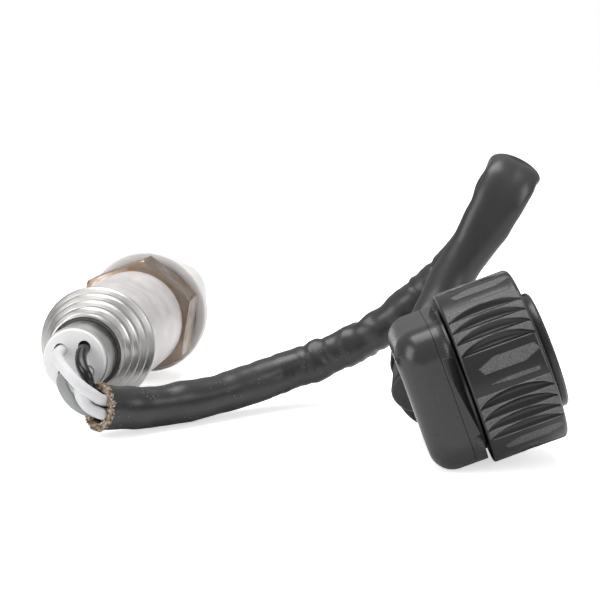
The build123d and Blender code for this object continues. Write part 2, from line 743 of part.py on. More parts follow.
with BuildPart() as mating_seal:
    seal_middle = SEAL_START + SEAL_LENGTH / 2
    seal_end = SEAL_START + SEAL_LENGTH - SEAT_GAP
    revolve(
        outline(
            [
                (SEAL_START + SEAT_GAP, SEAL_GROOVE_RADIUS + RUNNING_GAP),
                (seal_end, SEAL_GROOVE_RADIUS + RUNNING_GAP),
                (seal_end, SEAL_RADIUS - SEAL_LIP),
                (seal_end - SEAL_LENGTH / 4, SEAL_RADIUS),
                (seal_middle, SEAL_RADIUS - SEAL_LIP),
                (SEAL_START + SEAT_GAP + SEAL_LENGTH / 4, SEAL_RADIUS),
                (SEAL_START + SEAT_GAP, SEAL_RADIUS - SEAL_LIP),
            ],
            CONNECTOR_PROFILE,
        ),
        axis=CONNECTOR_AXIS,
    )

# ----------------------------------------------------------------- coupling ring
# Four scooped flutes and a plain land in each sixth of its outside. Each flute is
# the path of a round-nosed wheel whose axle lies across the ring.

RING_BORE = HUB_RADIUS + RING_BORE_GAP
FLUTE_CENTRE_RADIUS = RING_RADIUS - FLUTE_DEPTH + FLUTE_ROUND + FLUTE_SWEEP_RADIUS
GROUP_PITCH = 360 / GRIP_GROUPS

with BuildPart(CONNECTOR) as coupling_ring:
    revolve(
        outline(
            [
                (RING_START, RING_BORE),
                (RING_START + RING_LAND_LENGTH, RING_BORE),
                (RING_START + RING_LAND_LENGTH, RING_CAVITY_RADIUS),
                (RING_END, RING_CAVITY_RADIUS),
                (RING_END, RING_RADIUS),
                (RING_START, RING_RADIUS),
            ],
            CONNECTOR_PROFILE,
        ),
        axis=CONNECTOR_AXIS,
    )
    ring_circles = coupling_ring.edges().filter_by(GeomType.CIRCLE)
    fillet(
        ring_circles.filter_by(lambda e: e.radius > RING_RADIUS - 0.01),
        RING_ROUND,
    )
    for group in range(GRIP_GROUPS):
        land = LAND_ANGLE + group * GROUP_PITCH
        first = land + GROUP_PITCH / 2 - FLUTE_PITCH * (FLUTES_PER_GROUP - 1) / 2
        with PolarLocations(
            FLUTE_CENTRE_RADIUS,
            FLUTES_PER_GROUP,
            start_angle=first,
            angular_range=FLUTE_PITCH * FLUTES_PER_GROUP,
        ):
            Torus(
                FLUTE_SWEEP_RADIUS,
                FLUTE_ROUND,
                rotation=(90, 0, 0),
                mode=Mode.SUBTRACT,
            )
    # Ramps inside the mouth that draw the mating half home.
    with BuildSketch(CONNECTOR.offset(RING_END - LUG_LENGTH - LUG_INSET)):
        for lug in range(LUG_COUNT):
            middle = LAND_ANGLE + lug * 360 / LUG_COUNT
            with BuildLine():
                inner_arc = CenterArc(
                    (0, 0),
                    RING_CAVITY_RADIUS - LUG_HEIGHT,
                    middle - LUG_ANGLE / 2,
                    LUG_ANGLE,
                )
                outer_arc = CenterArc(
                    (0, 0),
                    RING_CAVITY_RADIUS + LUG_HEIGHT / 2,
                    middle - LUG_ANGLE / 2,
                    LUG_ANGLE,
                )
                Line(inner_arc @ 0, outer_arc @ 0)
                Line(inner_arc @ 1, outer_arc @ 1)
            make_face()
    extrude(amount=LUG_LENGTH)

# ------------------------------------------------------ contacts and their seals

CONTACT_PLACES = dict(count=CONTACT_COUNT, start_angle=45)

with BuildPart() as contact_insert:
    with BuildSketch(CONNECTOR.offset(INSERT_START)):
        Circle(INSERT_SEAT_RADIUS - INSERT_GAP)
        with PolarLocations(CONTACT_CIRCLE_RADIUS, **CONTACT_PLACES):
            Circle(CONTACT_RADIUS + RUNNING_GAP, mode=Mode.SUBTRACT)
        with Locations((0, INSERT_SEAT_RADIUS - INSERT_GAP)):
            Rectangle(KEYWAY_WIDTH, 2 * KEYWAY_DEPTH, mode=Mode.SUBTRACT)
    extrude(amount=INSERT_LENGTH)
    chamfer(
        contact_insert.faces().sort_by(CONNECTOR_AXIS)[-1].outer_wire().edges(), 0.3
    )

with BuildPart() as contact_sockets:
    with BuildSketch(CONNECTOR.offset(PLATE_BACK - CONTACT_TAIL)):
        with PolarLocations(CONTACT_CIRCLE_RADIUS, **CONTACT_PLACES):
            Circle(CONTACT_RADIUS)
    extrude(amount=INSERT_FACE - CONTACT_INSET - PLATE_BACK + CONTACT_TAIL)
    with BuildSketch(CONNECTOR.offset(INSERT_START)):
        with PolarLocations(CONTACT_CIRCLE_RADIUS, **CONTACT_PLACES):
            Circle(CONTACT_BORE_RADIUS)
    extrude(amount=INSERT_LENGTH, mode=Mode.SUBTRACT)

with BuildPart() as wire_seal:
    with BuildSketch(CONNECTOR.offset(PLATE_BACK + SEAT_GAP)):
        Circle(INSERT_SEAT_RADIUS - INSERT_GAP)
        with PolarLocations(CONTACT_CIRCLE_RADIUS, **CONTACT_PLACES):
            Circle(CONTACT_RADIUS + RUNNING_GAP, mode=Mode.SUBTRACT)
    extrude(amount=INSERT_START - PLATE_BACK - 2 * SEAT_GAP)

# ---------------------------------------------------- rear cover and cable outlet

OUTLET_ROOT = CONNECTOR.from_local_coords(Vector(*OUTLET_OFFSET))
OUTLET_AXIS = (
    CONNECTOR.from_local_coords(Vector(*OUTLET_DIRECTION)) - CONNECTOR.origin
).normalized()
OUTLET = Plane(
    origin=OUTLET_ROOT, x_dir=CONNECTOR.z_dir.cross(OUTLET_AXIS), z_dir=OUTLET_AXIS
)

with BuildPart() as rear_cover:
    with BuildSketch(CONNECTOR.offset(PLATE_BACK - SEAM_GAP)):
        RectangleRounded(HOUSING_SIDE, HOUSING_SIDE, HOUSING_CORNER)
    extrude(amount=-COVER_DEPTH)
    rear_face = rear_cover.faces().sort_by(CONNECTOR_AXIS)[0]
    fillet(rear_face.edges(), COVER_REAR_ROUND)
    with BuildSketch(OUTLET.offset(-SPIGOT_ROOT_DEPTH)):
        Circle(SPIGOT_RADIUS)
    extrude(amount=SPIGOT_ROOT_DEPTH + SPIGOT_LENGTH)
    # Hollow behind the seam, and clear of the plate and the ring.
    with BuildSketch(CONNECTOR.offset(PLATE_BACK - SEAM_GAP)):
        RectangleRounded(
            HOUSING_SIDE - 2 * COVER_WALL,
            HOUSING_SIDE - 2 * COVER_WALL,
            HOUSING_CORNER - COVER_WALL,
        )
    extrude(amount=COVER_WALL - COVER_DEPTH, taper=COVER_DRAFT, mode=Mode.SUBTRACT)
    with BuildSketch(CONNECTOR.offset(PLATE_BACK - SEAM_GAP)):
        Circle(RING_RADIUS + 1)
        RectangleRounded(HOUSING_SIDE + 1, HOUSING_SIDE + 1, HOUSING_CORNER)
    extrude(amount=RING_LENGTH, mode=Mode.SUBTRACT)
    with BuildSketch(OUTLET.offset(-SPIGOT_ROOT_DEPTH)):
        Circle(SPIGOT_BORE_RADIUS)
    extrude(amount=SPIGOT_ROOT_DEPTH + SPIGOT_LENGTH, mode=Mode.SUBTRACT)

COLLAR_BORE = SPIGOT_RADIUS + RUNNING_GAP
COLLAR_RADIUS = COLLAR_BORE + COLLAR_WALL
COLLAR_END_OFFSET = SPIGOT_LENGTH + COLLAR_OVERHANG

with BuildPart() as cable_outlet:
    with BuildSketch(OUTLET.offset(SPIGOT_LENGTH - COLLAR_OVERLAP)):
        Circle(COLLAR_RADIUS)
        Circle(COLLAR_BORE, mode=Mode.SUBTRACT)
    extrude(amount=COLLAR_OVERLAP + COLLAR_OVERHANG)
    with BuildSketch(OUTLET.offset(COLLAR_END_OFFSET - COLLAR_LIP)):
        Circle(COLLAR_RADIUS)
        Circle(SPIGOT_BORE_RADIUS, mode=Mode.SUBTRACT)
    extrude(amount=COLLAR_LIP)
    lip_edges = cable_outlet.edges().filter_by(GeomType.CIRCLE)
    outer_edges = lip_edges.filter_by(lambda e: e.radius > COLLAR_RADIUS - 0.01)
    fillet(outer_edges.sort_by(Axis(OUTLET.origin, OUTLET.z_dir))[-1], COLLAR_ROUND)

# ----------------------------------------------------------------- harness sleeve
# It stands in a stiff loop between the sensor and the cover.

MOUTH = Vector(5.8, -47.4, 5.7)
FIRST_BEND = Vector(12.3, -40.2, 4.0)
SECOND_BEND = Vector(20.6, -31.5, 4.1)
SLEEVE_ROUTE = [
    MOUTH,
    FIRST_BEND,
    SECOND_BEND,
    Vector(28.1, -22.4, 5.0),
    Vector(36.4, -14.8, 7.2),
    Vector(45.2, -11.0, 10.5),
    Vector(53.9, -9.9, 15.5),
    Vector(61.9, -8.6, 21.9),
    Vector(69.6, -7.0, 30.2),
    Vector(74.5, -5.6, 39.8),
    Vector(76.7, -10.0, 44.4),
    Vector(76.9, -16.8, 44.9),
    Vector(75.0, -21.4, 41.3),
    Vector(70.1, -22.3, 32.1),
    Vector(66.6, -23.8, 26.4),
    Vector(64.2, -27.6, 20.8),
    OUTLET_ROOT + OUTLET_AXIS * (SPIGOT_LENGTH - HARNESS_IN_SPIGOT + 8.2),
    OUTLET_ROOT + OUTLET_AXIS * (SPIGOT_LENGTH - HARNESS_IN_SPIGOT),
]


def bend_radii(points):
    """The largest tangent arcs that the runs beside each point allow."""
    radii = []
    for before, corner, after in zip(points, points[1:], points[2:]):
        run_in = corner - before
        run_out = after - corner
        half_turn = radians(run_in.get_angle(run_out)) / 2
        radii.append(BEND_SHARE * min(run_in.length, run_out.length) / tan(half_turn))
    return radii


def cord_path(points):
    """Straight runs joined by tangent arcs."""
    with BuildLine() as path:
        FilletPolyline(*points, radius=bend_radii(points))
    return path.wires()[0]


def report_cord(name, path, points, solid_volume, section_area):
    """Prints what shows that a cord's tube is sound, and its route."""
    radii = ", ".join(f"{r:.1f}" for r in bend_radii(points))
    share = solid_volume / (section_area * path.length)
    print(f"{name}: length {path.length:.1f}, volume share {share:.4f}, radii {radii}")
    route = "; ".join(f"{p.X:.2f} {p.Y:.2f} {p.Z:.2f}" for p in points)
    print(f"    route {route}")


sleeve_path = cord_path(SLEEVE_ROUTE)
with BuildPart() as harness_sleeve:
    with BuildSketch(Plane(origin=sleeve_path @ 0, z_dir=sleeve_path % 0)) as sleeve_cut:
        Circle(HARNESS_RADIUS)
        Circle(HARNESS_BORE_RADIUS, mode=Mode.SUBTRACT)
    sweep(path=sleeve_path)
report_cord(
    "harness_sleeve",
    sleeve_path,
    SLEEVE_ROUTE,
    harness_sleeve.part.volume,
    sleeve_cut.sketch.area,
)

# ------------------------------------------------------------------------- wires
# Each leaves its hole towards the front, turns down and runs back into the sleeve.

WIRE_START = SPRING_START - SEAT_GAP
HOLE_OVERRUN = 0.6  # how far each wire comes straight out of its hole
MOUTH_RUN = 0.8  # how far before the sleeve's mouth each wire lines up with it
IN_SLEEVE = 6.0  # how far each wire goes past the sleeve's first bend
BUNDLE_OFFSET = 1.13  # from the sleeve's centre line to each wire, both ways
WIRE_BENDS = {
    "white_left": [(-1.0, -46.5, 13.8), (1.7, -51.4, 12.1), (4.5, -53.8, 10.8), (6.8, -52.3, 9.2)],
    "white_right": [(2.7, -46.0, 9.9), (2.0, -48.5, 8.5), (2.7, -50.3, 7.2), (5.6, -51.3, 5.7)],
    "black": [(2.1, -45.2, 14.3), (3.0, -47.8, 12.9), (4.6, -48.9, 11.0)],
    "grey": [(-2.3, -44.6, 9.6), (-1.0, -46.9, 7.9), (1.2, -48.1, 6.1)],
}
BUNDLE_SIDES = {
    "white_left": (1, 1),
    "white_right": (1, -1),
    "black": (-1, 1),
    "grey": (-1, -1),
}


def wire_route(name):
    """Points of one wire, from the terminal carrier into the sleeve."""
    x, z = spot(WIRE_ANGLES[name], WIRE_CIRCLE_RADIUS)
    front, top = (BUNDLE_OFFSET * side for side in BUNDLE_SIDES[name])
    into = (FIRST_BEND - MOUTH).normalized()
    onward = (SECOND_BEND - FIRST_BEND).normalized()
    up = Vector(0, 0, 1)
    entry_side = into.cross(up).normalized() * front + up * top
    exit_side = onward.cross(up).normalized() * front + up * top
    bend_side = (entry_side + exit_side) / 2
    return [
        Vector(x, GROMMET_Y + WIRE_START, AXIS_HEIGHT + z),
        Vector(x, GROMMET_Y - HOLE_OVERRUN, AXIS_HEIGHT + z),
        *[Vector(*point) for point in WIRE_BENDS[name]],
        MOUTH - into * MOUTH_RUN + entry_side,
        FIRST_BEND + bend_side,
        FIRST_BEND + onward * IN_SLEEVE + exit_side,
    ]


def wire_tube(name):
    """One insulated wire."""
    points = wire_route(name)
    path = cord_path(points)
    with BuildPart() as tube:
        with BuildSketch(Plane(origin=path @ 0, z_dir=path % 0)) as cut:
            Circle(WIRE_RADIUS)
        sweep(path=path)
    report_cord(name, path, points, tube.part.volume, cut.sketch.area)
    return tube.part


wires = {f"wire_{name}": wire_tube(name) for name in WIRE_ANGLES}

# ------------------------------------------------------------------------ export

pieces = {
    "wire_grommet": wire_grommet.part,
    "crimp_tube": crimp_tube.part,
    "stepped_sleeve": stepped_sleeve.part,
    "vent_filter": vent_filter.part,
    "barrel_sleeve": barrel_sleeve.part,
    "sensor_body": sensor_body.part,
    "sealing_washer": sealing_washer.part,
    "outer_shield": outer_shield.part,
    "inner_shield": inner_shield.part,
    "sensing_element": sensing_element.part,
    "heater_rod": heater_rod.part,
    "packing_ring": packing_ring.part,
    "support_ceramic": support_ceramic.part,
    "terminal_carrier": terminal_carrier.part,
    "contact_springs": contact_springs.part,
    "thread_cap": thread_cap.part,
    "plug_body": plug_body.part,
    "ring_clip": ring_clip.part,
    "mating_seal": mating_seal.part,
    "coupling_ring": coupling_ring.part,
    "contact_insert": contact_insert.part,
    "contact_sockets": contact_sockets.part,
    "wire_seal": wire_seal.part,
    "rear_cover": rear_cover.part,
    "cable_outlet": cable_outlet.part,
    "harness_sleeve": harness_sleeve.part,
    **wires,
}
for name, piece in pieces.items():
    piece.label = name
    export_step(piece, f"parts/{name}.step")
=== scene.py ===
from math import cos, pi, radians, sin, sqrt, tau

import bmesh
import bpy
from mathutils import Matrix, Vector, noise


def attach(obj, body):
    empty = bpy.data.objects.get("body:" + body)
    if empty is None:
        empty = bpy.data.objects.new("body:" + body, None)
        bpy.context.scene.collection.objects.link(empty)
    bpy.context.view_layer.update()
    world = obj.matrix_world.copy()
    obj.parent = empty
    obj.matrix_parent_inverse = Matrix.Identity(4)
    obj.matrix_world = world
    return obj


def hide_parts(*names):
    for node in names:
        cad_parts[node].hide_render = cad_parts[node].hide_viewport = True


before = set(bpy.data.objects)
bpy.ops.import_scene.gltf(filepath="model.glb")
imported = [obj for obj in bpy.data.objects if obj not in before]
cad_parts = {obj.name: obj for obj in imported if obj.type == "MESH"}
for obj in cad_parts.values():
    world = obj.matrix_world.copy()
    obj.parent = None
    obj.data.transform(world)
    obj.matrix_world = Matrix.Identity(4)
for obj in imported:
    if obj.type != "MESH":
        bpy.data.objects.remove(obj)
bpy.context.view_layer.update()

# ---------------------------------------------------------------- the studio
# A white table under soft light, seen from the wire end and a little above. The long lens
# keeps the sensor nearly end-on, with the connector to its right.

MM = 0.001
CAMERA_PLACE = (84.2, -335.1, 70.4)
LOOK_DOWN = 8.73
LOOK_LEFT = 8.33
LENS = 102.0
LAMPS_AIM = (0.035, -0.02, 0.015)
SKY_LIGHT = 0.45
SKY_TONES = ((0.42, (0.62, 0.62, 0.63)), (0.75, 1.0))
TABLE_SIZE = 3.0
TABLE_DROP = 0.00002
TABLE_TONE = (0.92, 0.92, 0.92, 1)
TABLE_GLOW = 0.64  # for the camera's own view only, so it lights nothing
WHITE = (1, 1, 1, 1)

camera_data = bpy.data.cameras.new("camera")
camera_data.lens = LENS
camera_data.sensor_width = 36.0
camera_data.clip_start = 0.01
camera = bpy.data.objects.new("camera", camera_data)
camera.location = Vector(CAMERA_PLACE) * MM
camera.rotation_euler = (radians(90 - LOOK_DOWN), 0, radians(LOOK_LEFT))
bpy.context.scene.collection.objects.link(camera)
bpy.context.scene.camera = camera
bpy.context.scene.view_settings.view_transform = "Standard"


def softbox(name, place, size, power):
    """A rectangular area lamp of the given size, turned towards the part."""
    data = bpy.data.lights.new(name, "AREA")
    data.shape = "RECTANGLE"
    data.size, data.size_y = size
    data.energy = power
    lamp = bpy.data.objects.new(name, data)
    lamp.location = place
    aim = Vector(LAMPS_AIM) - Vector(place)
    lamp.rotation_euler = aim.to_track_quat("-Z", "Y").to_euler()
    bpy.context.scene.collection.objects.link(lamp)


softbox("overhead", (0.0, 0.05, 0.75), (0.6, 0.5), 4.6)
softbox("front_left", (-0.55, -0.5, 0.36), (0.45, 0.6), 3.4)
softbox("right_side", (0.75, -0.2, 0.35), (0.3, 0.5), 1.7)


def put(tree, kind, **values):
    """A node of a tree, with its settings and its inputs by name."""
    made = tree.nodes.new(kind)
    for key, value in values.items():
        socket = made.inputs.get(key.replace("_", " "))
        if hasattr(made, key):
            setattr(made, key, value)
        elif socket is not None:
            socket.default_value = value
        else:
            raise ValueError(f"{kind} has no {key}")
    return made


def tones(tree, source, *stops):
    """A colour ramp from a value, with (position, grey or colour) stops."""
    ramp = put(tree, "ShaderNodeValToRGB")
    while len(ramp.color_ramp.elements) < len(stops):
        ramp.color_ramp.elements.new(0.5)
    for element, (position, tone) in zip(ramp.color_ramp.elements, stops):
        element.position = position
        element.color = (*tone, 1) if isinstance(tone, tuple) else (tone, tone, tone, 1)
    tree.links.new(source, ramp.inputs[0])
    return ramp.outputs["Color"]


def worked(tree, first, second, operation="MULTIPLY"):
    """Two values, or sockets that give them, worked into one value."""
    made = put(tree, "ShaderNodeMath", operation=operation)
    for socket, value in zip(made.inputs, (first, second)):
        if isinstance(value, (int, float)):
            socket.default_value = value
        else:
            tree.links.new(value, socket)
    return made.outputs[0]


world = bpy.data.worlds.new("studio")
bpy.context.scene.world = world
world.use_nodes = True
air = world.node_tree
air.nodes.clear()
rays = put(air, "ShaderNodeLightPath")
seen = put(air, "ShaderNodeBackground", Color=WHITE, Strength=1.0)
light = put(air, "ShaderNodeBackground", Strength=SKY_LIGHT)
way = put(air, "ShaderNodeTexCoord")
height = put(air, "ShaderNodeSeparateXYZ")
shift = put(air, "ShaderNodeMath", operation="MULTIPLY_ADD")
shift.inputs[1].default_value = 0.5
shift.inputs[2].default_value = 0.5
blend = put(air, "ShaderNodeMixShader")
out = put(air, "ShaderNodeOutputWorld")
air.links.new(way.outputs["Generated"], height.inputs[0])
air.links.new(height.outputs["Z"], shift.inputs[0])
air.links.new(tones(air, shift.outputs[0], *SKY_TONES), light.inputs["Color"])
air.links.new(rays.outputs["Is Camera Ray"], blend.inputs[0])
air.links.new(light.outputs[0], blend.inputs[1])
air.links.new(seen.outputs[0], blend.inputs[2])
air.links.new(blend.outputs[0], out.inputs[0])

bpy.ops.mesh.primitive_plane_add(size=TABLE_SIZE, location=(0, 0, -TABLE_DROP))
table = bpy.context.object
table.name = "table"
paper = bpy.data.materials.new("white_paper")
paper.use_nodes = True
sheet = paper.node_tree
sheet.nodes.clear()
diffuse = put(sheet, "ShaderNodeBsdfDiffuse", Color=TABLE_TONE)
glow = put(sheet, "ShaderNodeEmission", Color=WHITE)
both = put(sheet, "ShaderNodeAddShader")
sheet_out = put(sheet, "ShaderNodeOutputMaterial")
sheet_rays = put(sheet, "ShaderNodeLightPath")
lift = worked(sheet, sheet_rays.outputs["Is Camera Ray"], TABLE_GLOW)
sheet.links.new(lift, glow.inputs["Strength"])
sheet.links.new(diffuse.outputs[0], both.inputs[0])
sheet.links.new(glow.outputs[0], both.inputs[1])
sheet.links.new(both.outputs[0], sheet_out.inputs[0])
table.data.materials.append(paper)

# ---------------------------------------------------------------- harness sleeve
# Glass-fibre braid dipped in black varnish, slipped over the four wires and clamped in the
# connector's outlet. It is stiff, stands in a narrow loop and is flattened at the fold.

SLEEVE_OUTSIDE = 3.8
SLEEVE_INSIDE = 3.0
SLEEVE_ROUTE = [
    (5.8, -47.4, 5.7), (12.3, -40.2, 4.0), (20.6, -31.5, 4.1), (28.1, -22.4, 5.0),
    (36.4, -14.8, 7.2), (45.2, -11.0, 10.5), (53.9, -9.9, 15.5), (61.9, -8.6, 21.9),
    (69.6, -7.0, 30.2), (75.2, -5.6, 40.8), (77.8, -9.8, 45.9), (78.0, -16.9, 46.4),
    (76.1, -21.4, 42.2), (70.1, -22.3, 32.1), (66.6, -23.8, 26.4), (64.2, -27.6, 20.8),
    (61.94, -33.14, 16.61), (62.24, -40.5, 13.0),
]
SLEEVE_STEP = 0.55
SLEEVE_SIDES = 48
LINING_RINGS = 44  # how far the mouth's inside is modelled, in steps
LINING_WRINKLES = 0.2  # how much of the outside's wrinkles the inside shows
MOUTH_FLARE = 0.25
MOUTH_FLARE_RUN = 3.0
MOUTH_CALM = 0.35
MOUTH_CALM_RINGS = 12
# Places along the sleeve where a change starts, is full, is still full and ends.
FOLD_MARKS = (90.0, 102.0, 115.0, 138.0)
GATHER_MARKS = (34.0, 46.0, 74.0, 88.0)
FOLD_WIDE_WAY = (0.89, 0.0, -0.45)
FOLD_WIDER = 0.26
FOLD_THINNER = 0.42
CREASE_DEPTH = 0.9  # the valley down the run before the fold
CREASE_NARROW = 6
DENT_DEPTH = 0.55
DENT_GRAIN = 95
DENT_ROUND = 0.6
RIDGE_DEPTH = 0.20
RIDGE_GRAIN = 300
RIDGE_ROUND = 0.5
GATHER_DEPTH = 0.34
GATHER_TURN = 0.92  # of the cross ridges' wave, in radians for each millimetre
GATHER_WANDER = 4.0
GATHER_WANDER_GRAIN = 1.3
GATHER_LEAN = 1.1
GATHER_GRAIN = 160
GATHER_UNEVEN = 0.45
PATTERN_ROUND = 0.155  # once round the sleeve, as a share of its length
LINING_PATTERN_SHIFT = 0.004
VARNISH = (0.027, 0.027, 0.029)
CELLS = "ShaderNodeTexVoronoi"


def cord_curve(name, route):
    """A smooth open spline with the route's points, in millimetres, as its control points."""
    curve = bpy.data.curves.new(name, "CURVE")
    curve.dimensions = "3D"
    line = curve.splines.new("NURBS")
    line.points.add(len(route) - 1)
    for point, place in zip(line.points, route):
        point.co = (*(Vector(place) * MM), 1.0)
    line.order_u = 3
    line.use_endpoint_u = True
    line.resolution_u = 12
    made = bpy.data.objects.new(name, curve)
    bpy.context.scene.collection.objects.link(made)
    return made


def plain_mesh(thing):
    """A curve's or a modified object's final shape, as a mesh of its own."""
    bpy.context.view_layer.update()
    final = thing.evaluated_get(bpy.context.evaluated_depsgraph_get())
    return bpy.data.meshes.new_from_object(final)


def cord_points(route):
    """The points of a cord's own smooth line, in order."""
    guide = cord_curve("guide", route)
    line = plain_mesh(guide)
    points = [v.co.copy() for v in line.vertices]
    bpy.data.objects.remove(guide)
    bpy.data.meshes.remove(line)
    return points


def evenly(points, step):
    """The same line as points about one step apart, with how far along each lies."""
    marks = [0.0]
    for before, after in zip(points, points[1:]):
        marks.append(marks[-1] + (after - before).length)
    count = int(marks[-1] / step)
    spread, at = [], 0
    for number in range(count + 1):
        target = marks[-1] * number / count
        while at < len(marks) - 2 and marks[at + 1] < target:
            at += 1
        share = (target - marks[at]) / (marks[at + 1] - marks[at])
        spread.append((points[at].lerp(points[at + 1], share), target))
    return spread


def carried_frames(points, first_up):
    """Across, up and ahead directions along a line, carried without twist."""
    frames, up = [], Vector(first_up)
    for number, point in enumerate(points):
        ahead = points[min(number + 1, len(points) - 1)] - points[max(number - 1, 0)]
        ahead.normalize()
        up = (up - ahead * up.dot(ahead)).normalized()
        frames.append((ahead.cross(up), up, ahead))
    return frames


def mesh_piece(name, vertices, faces, material=None, uvs=None):
    """A smooth mesh object in the part's own frame."""
    mesh = bpy.data.meshes.new(name)
    mesh.from_pydata(vertices, [], faces)
    if uvs is not None:
        layer = mesh.uv_layers.new(name="along")
        for loop in mesh.loops:
            layer.data[loop.index].uv = uvs[loop.vertex_index]
    mesh.shade_smooth()
    if material is not None:
        mesh.materials.append(material)
    made = bpy.data.objects.new(name, mesh)
    bpy.context.scene.collection.objects.link(made)
    return made


def mended(mesh, join=None, outward=True):
    """Joins a mesh's points closer than a distance, and turns its faces outward."""
    tool = bmesh.new()
    tool.from_mesh(mesh)
    if join is not None:
        bmesh.ops.remove_doubles(tool, verts=tool.verts, dist=join)
    if outward:
        bmesh.ops.recalc_face_normals(tool, faces=tool.faces)
    tool.to_mesh(mesh)
    tool.free()


def tube_faces(rings, sides):
    """The faces between rings of points that follow each other."""
    faces = []
    for number in range(rings - 1):
        for side in range(sides):
            a = number * sides + side
            b = number * sides + (side + 1) % sides
            faces.append((a, b, b + sides, a + sides))
    return faces


def end_faces(rings, sides):
    """The two faces that close a tube of rings."""
    last = (rings - 1) * sides
    return [tuple(reversed(range(sides))), tuple(range(last, last + sides))]


def finish_of(name, colour, roughness, metallic=0.0, **more):
    """A material with its main shader, ready for its own pattern."""
    material = bpy.data.materials.new(name)
    material.use_nodes = True
    bsdf = material.node_tree.nodes["Principled BSDF"]
    bsdf.inputs["Base Color"].default_value = (*colour, 1)
    bsdf.inputs["Roughness"].default_value = roughness
    bsdf.inputs["Metallic"].default_value = metallic
    for key, value in more.items():
        bsdf.inputs[key.replace("_", " ")].default_value = value
    material.diffuse_color = (*colour, 1)
    return material, material.node_tree, bsdf


def bump_chain(tree, bsdf, *layers):
    """Bump nodes in a row, each a height output, a strength and a depth in millimetres."""
    before = None
    for source, strength, depth in layers:
        bump = put(tree, "ShaderNodeBump", Strength=strength, Distance=depth * MM)
        tree.links.new(source, bump.inputs["Height"])
        if before is not None:
            tree.links.new(before.outputs[0], bump.inputs["Normal"])
        before = bump
    tree.links.new(before.outputs[0], bsdf.inputs["Normal"])


def mix_tone(tree, share, first, second):
    """A colour between two, by a share."""
    made = put(tree, "ShaderNodeMix", data_type="RGBA")
    sockets = (made.inputs[0], made.inputs[6], made.inputs[7])
    for socket, value in zip(sockets, (share, first, second)):
        if isinstance(value, tuple):
            socket.default_value = (*value, 1)
        else:
            tree.links.new(value, socket)
    return made.outputs[2]


def place_in(tree, coordinate="Object", scale=(1, 1, 1)):
    """Coordinates on the piece, scaled each way."""
    source = put(tree, "ShaderNodeTexCoord")
    mapping = put(tree, "ShaderNodeMapping")
    mapping.inputs["Scale"].default_value = scale
    tree.links.new(source.outputs[coordinate], mapping.inputs["Vector"])
    return mapping.outputs[0]


def grain(tree, where, detail=2.0, kind="ShaderNodeTexNoise"):
    """A noise or cell texture, by its scale on the piece, its scale each way, or coordinates."""
    if isinstance(where, (int, float)):
        where = (where, where, where)
    if isinstance(where, tuple):
        where = place_in(tree, "Object", where)
    made = put(tree, kind, Scale=1.0)
    if kind != CELLS:
        made.inputs["Detail"].default_value = detail
    tree.links.new(where, made.inputs["Vector"])
    return made.outputs[0]


def colour_by(tree, bsdf, tone):
    """Gives the main shader its base colour."""
    tree.links.new(tone, bsdf.inputs["Base Color"])


varnish, weave, coat = finish_of("black_varnished_braid", VARNISH, 0.34, IOR=1.5)
along = place_in(weave, "UV")
braid = put(weave, "ShaderNodeTexWave", Scale=7.0, Distortion=0.6, bands_direction="DIAGONAL")
weave.links.new(along, braid.inputs["Vector"])
crumple = grain(weave, 150, 3.0)
fine = grain(weave, 2600)
bump_chain(weave, coat, (crumple, 0.18, 0.3), (braid.outputs["Fac"], 0.10, 0.06), (fine, 0.12, 0.03))
weave.links.new(tones(weave, crumple, (0.3, 0.28), (0.7, 0.42)), coat.inputs["Roughness"])
# Pale dust in patches, thickest by the cut mouth.
dust = grain(weave, 1500, kind=CELLS)
from_mouth = put(weave, "ShaderNodeSeparateXYZ")
weave.links.new(along, from_mouth.inputs[0])
fade = tones(weave, from_mouth.outputs["X"], (0.0, 1.0), (0.3, 0.3), (0.45, 0.0))
speck = worked(weave, tones(weave, dust, (0.0, 1.0), (0.13, 0.9), (0.17, 0.0)), fade)
patch = grain(weave, 330)
speck = worked(weave, speck, tones(weave, patch, (0.5, 0.0), (0.62, 1.0)))
colour_by(weave, coat, mix_tone(weave, speck, VARNISH, (0.42, 0.41, 0.40)))

sleeve_line = evenly(cord_points(SLEEVE_ROUTE), SLEEVE_STEP * MM)
sleeve_points = [point for point, _ in sleeve_line]
sleeve_total = sleeve_line[-1][1]
sleeve_frames = carried_frames(sleeve_points, (0, 0, 1))


def within(mark, marks):
    """How far a place along the sleeve is into a change, from 0 to 1."""
    start, full, still_full, end = marks
    rise = (mark / MM - start) / (full - start)
    fall = (end - mark / MM) / (end - still_full)
    return max(0.0, min(1.0, rise, fall))


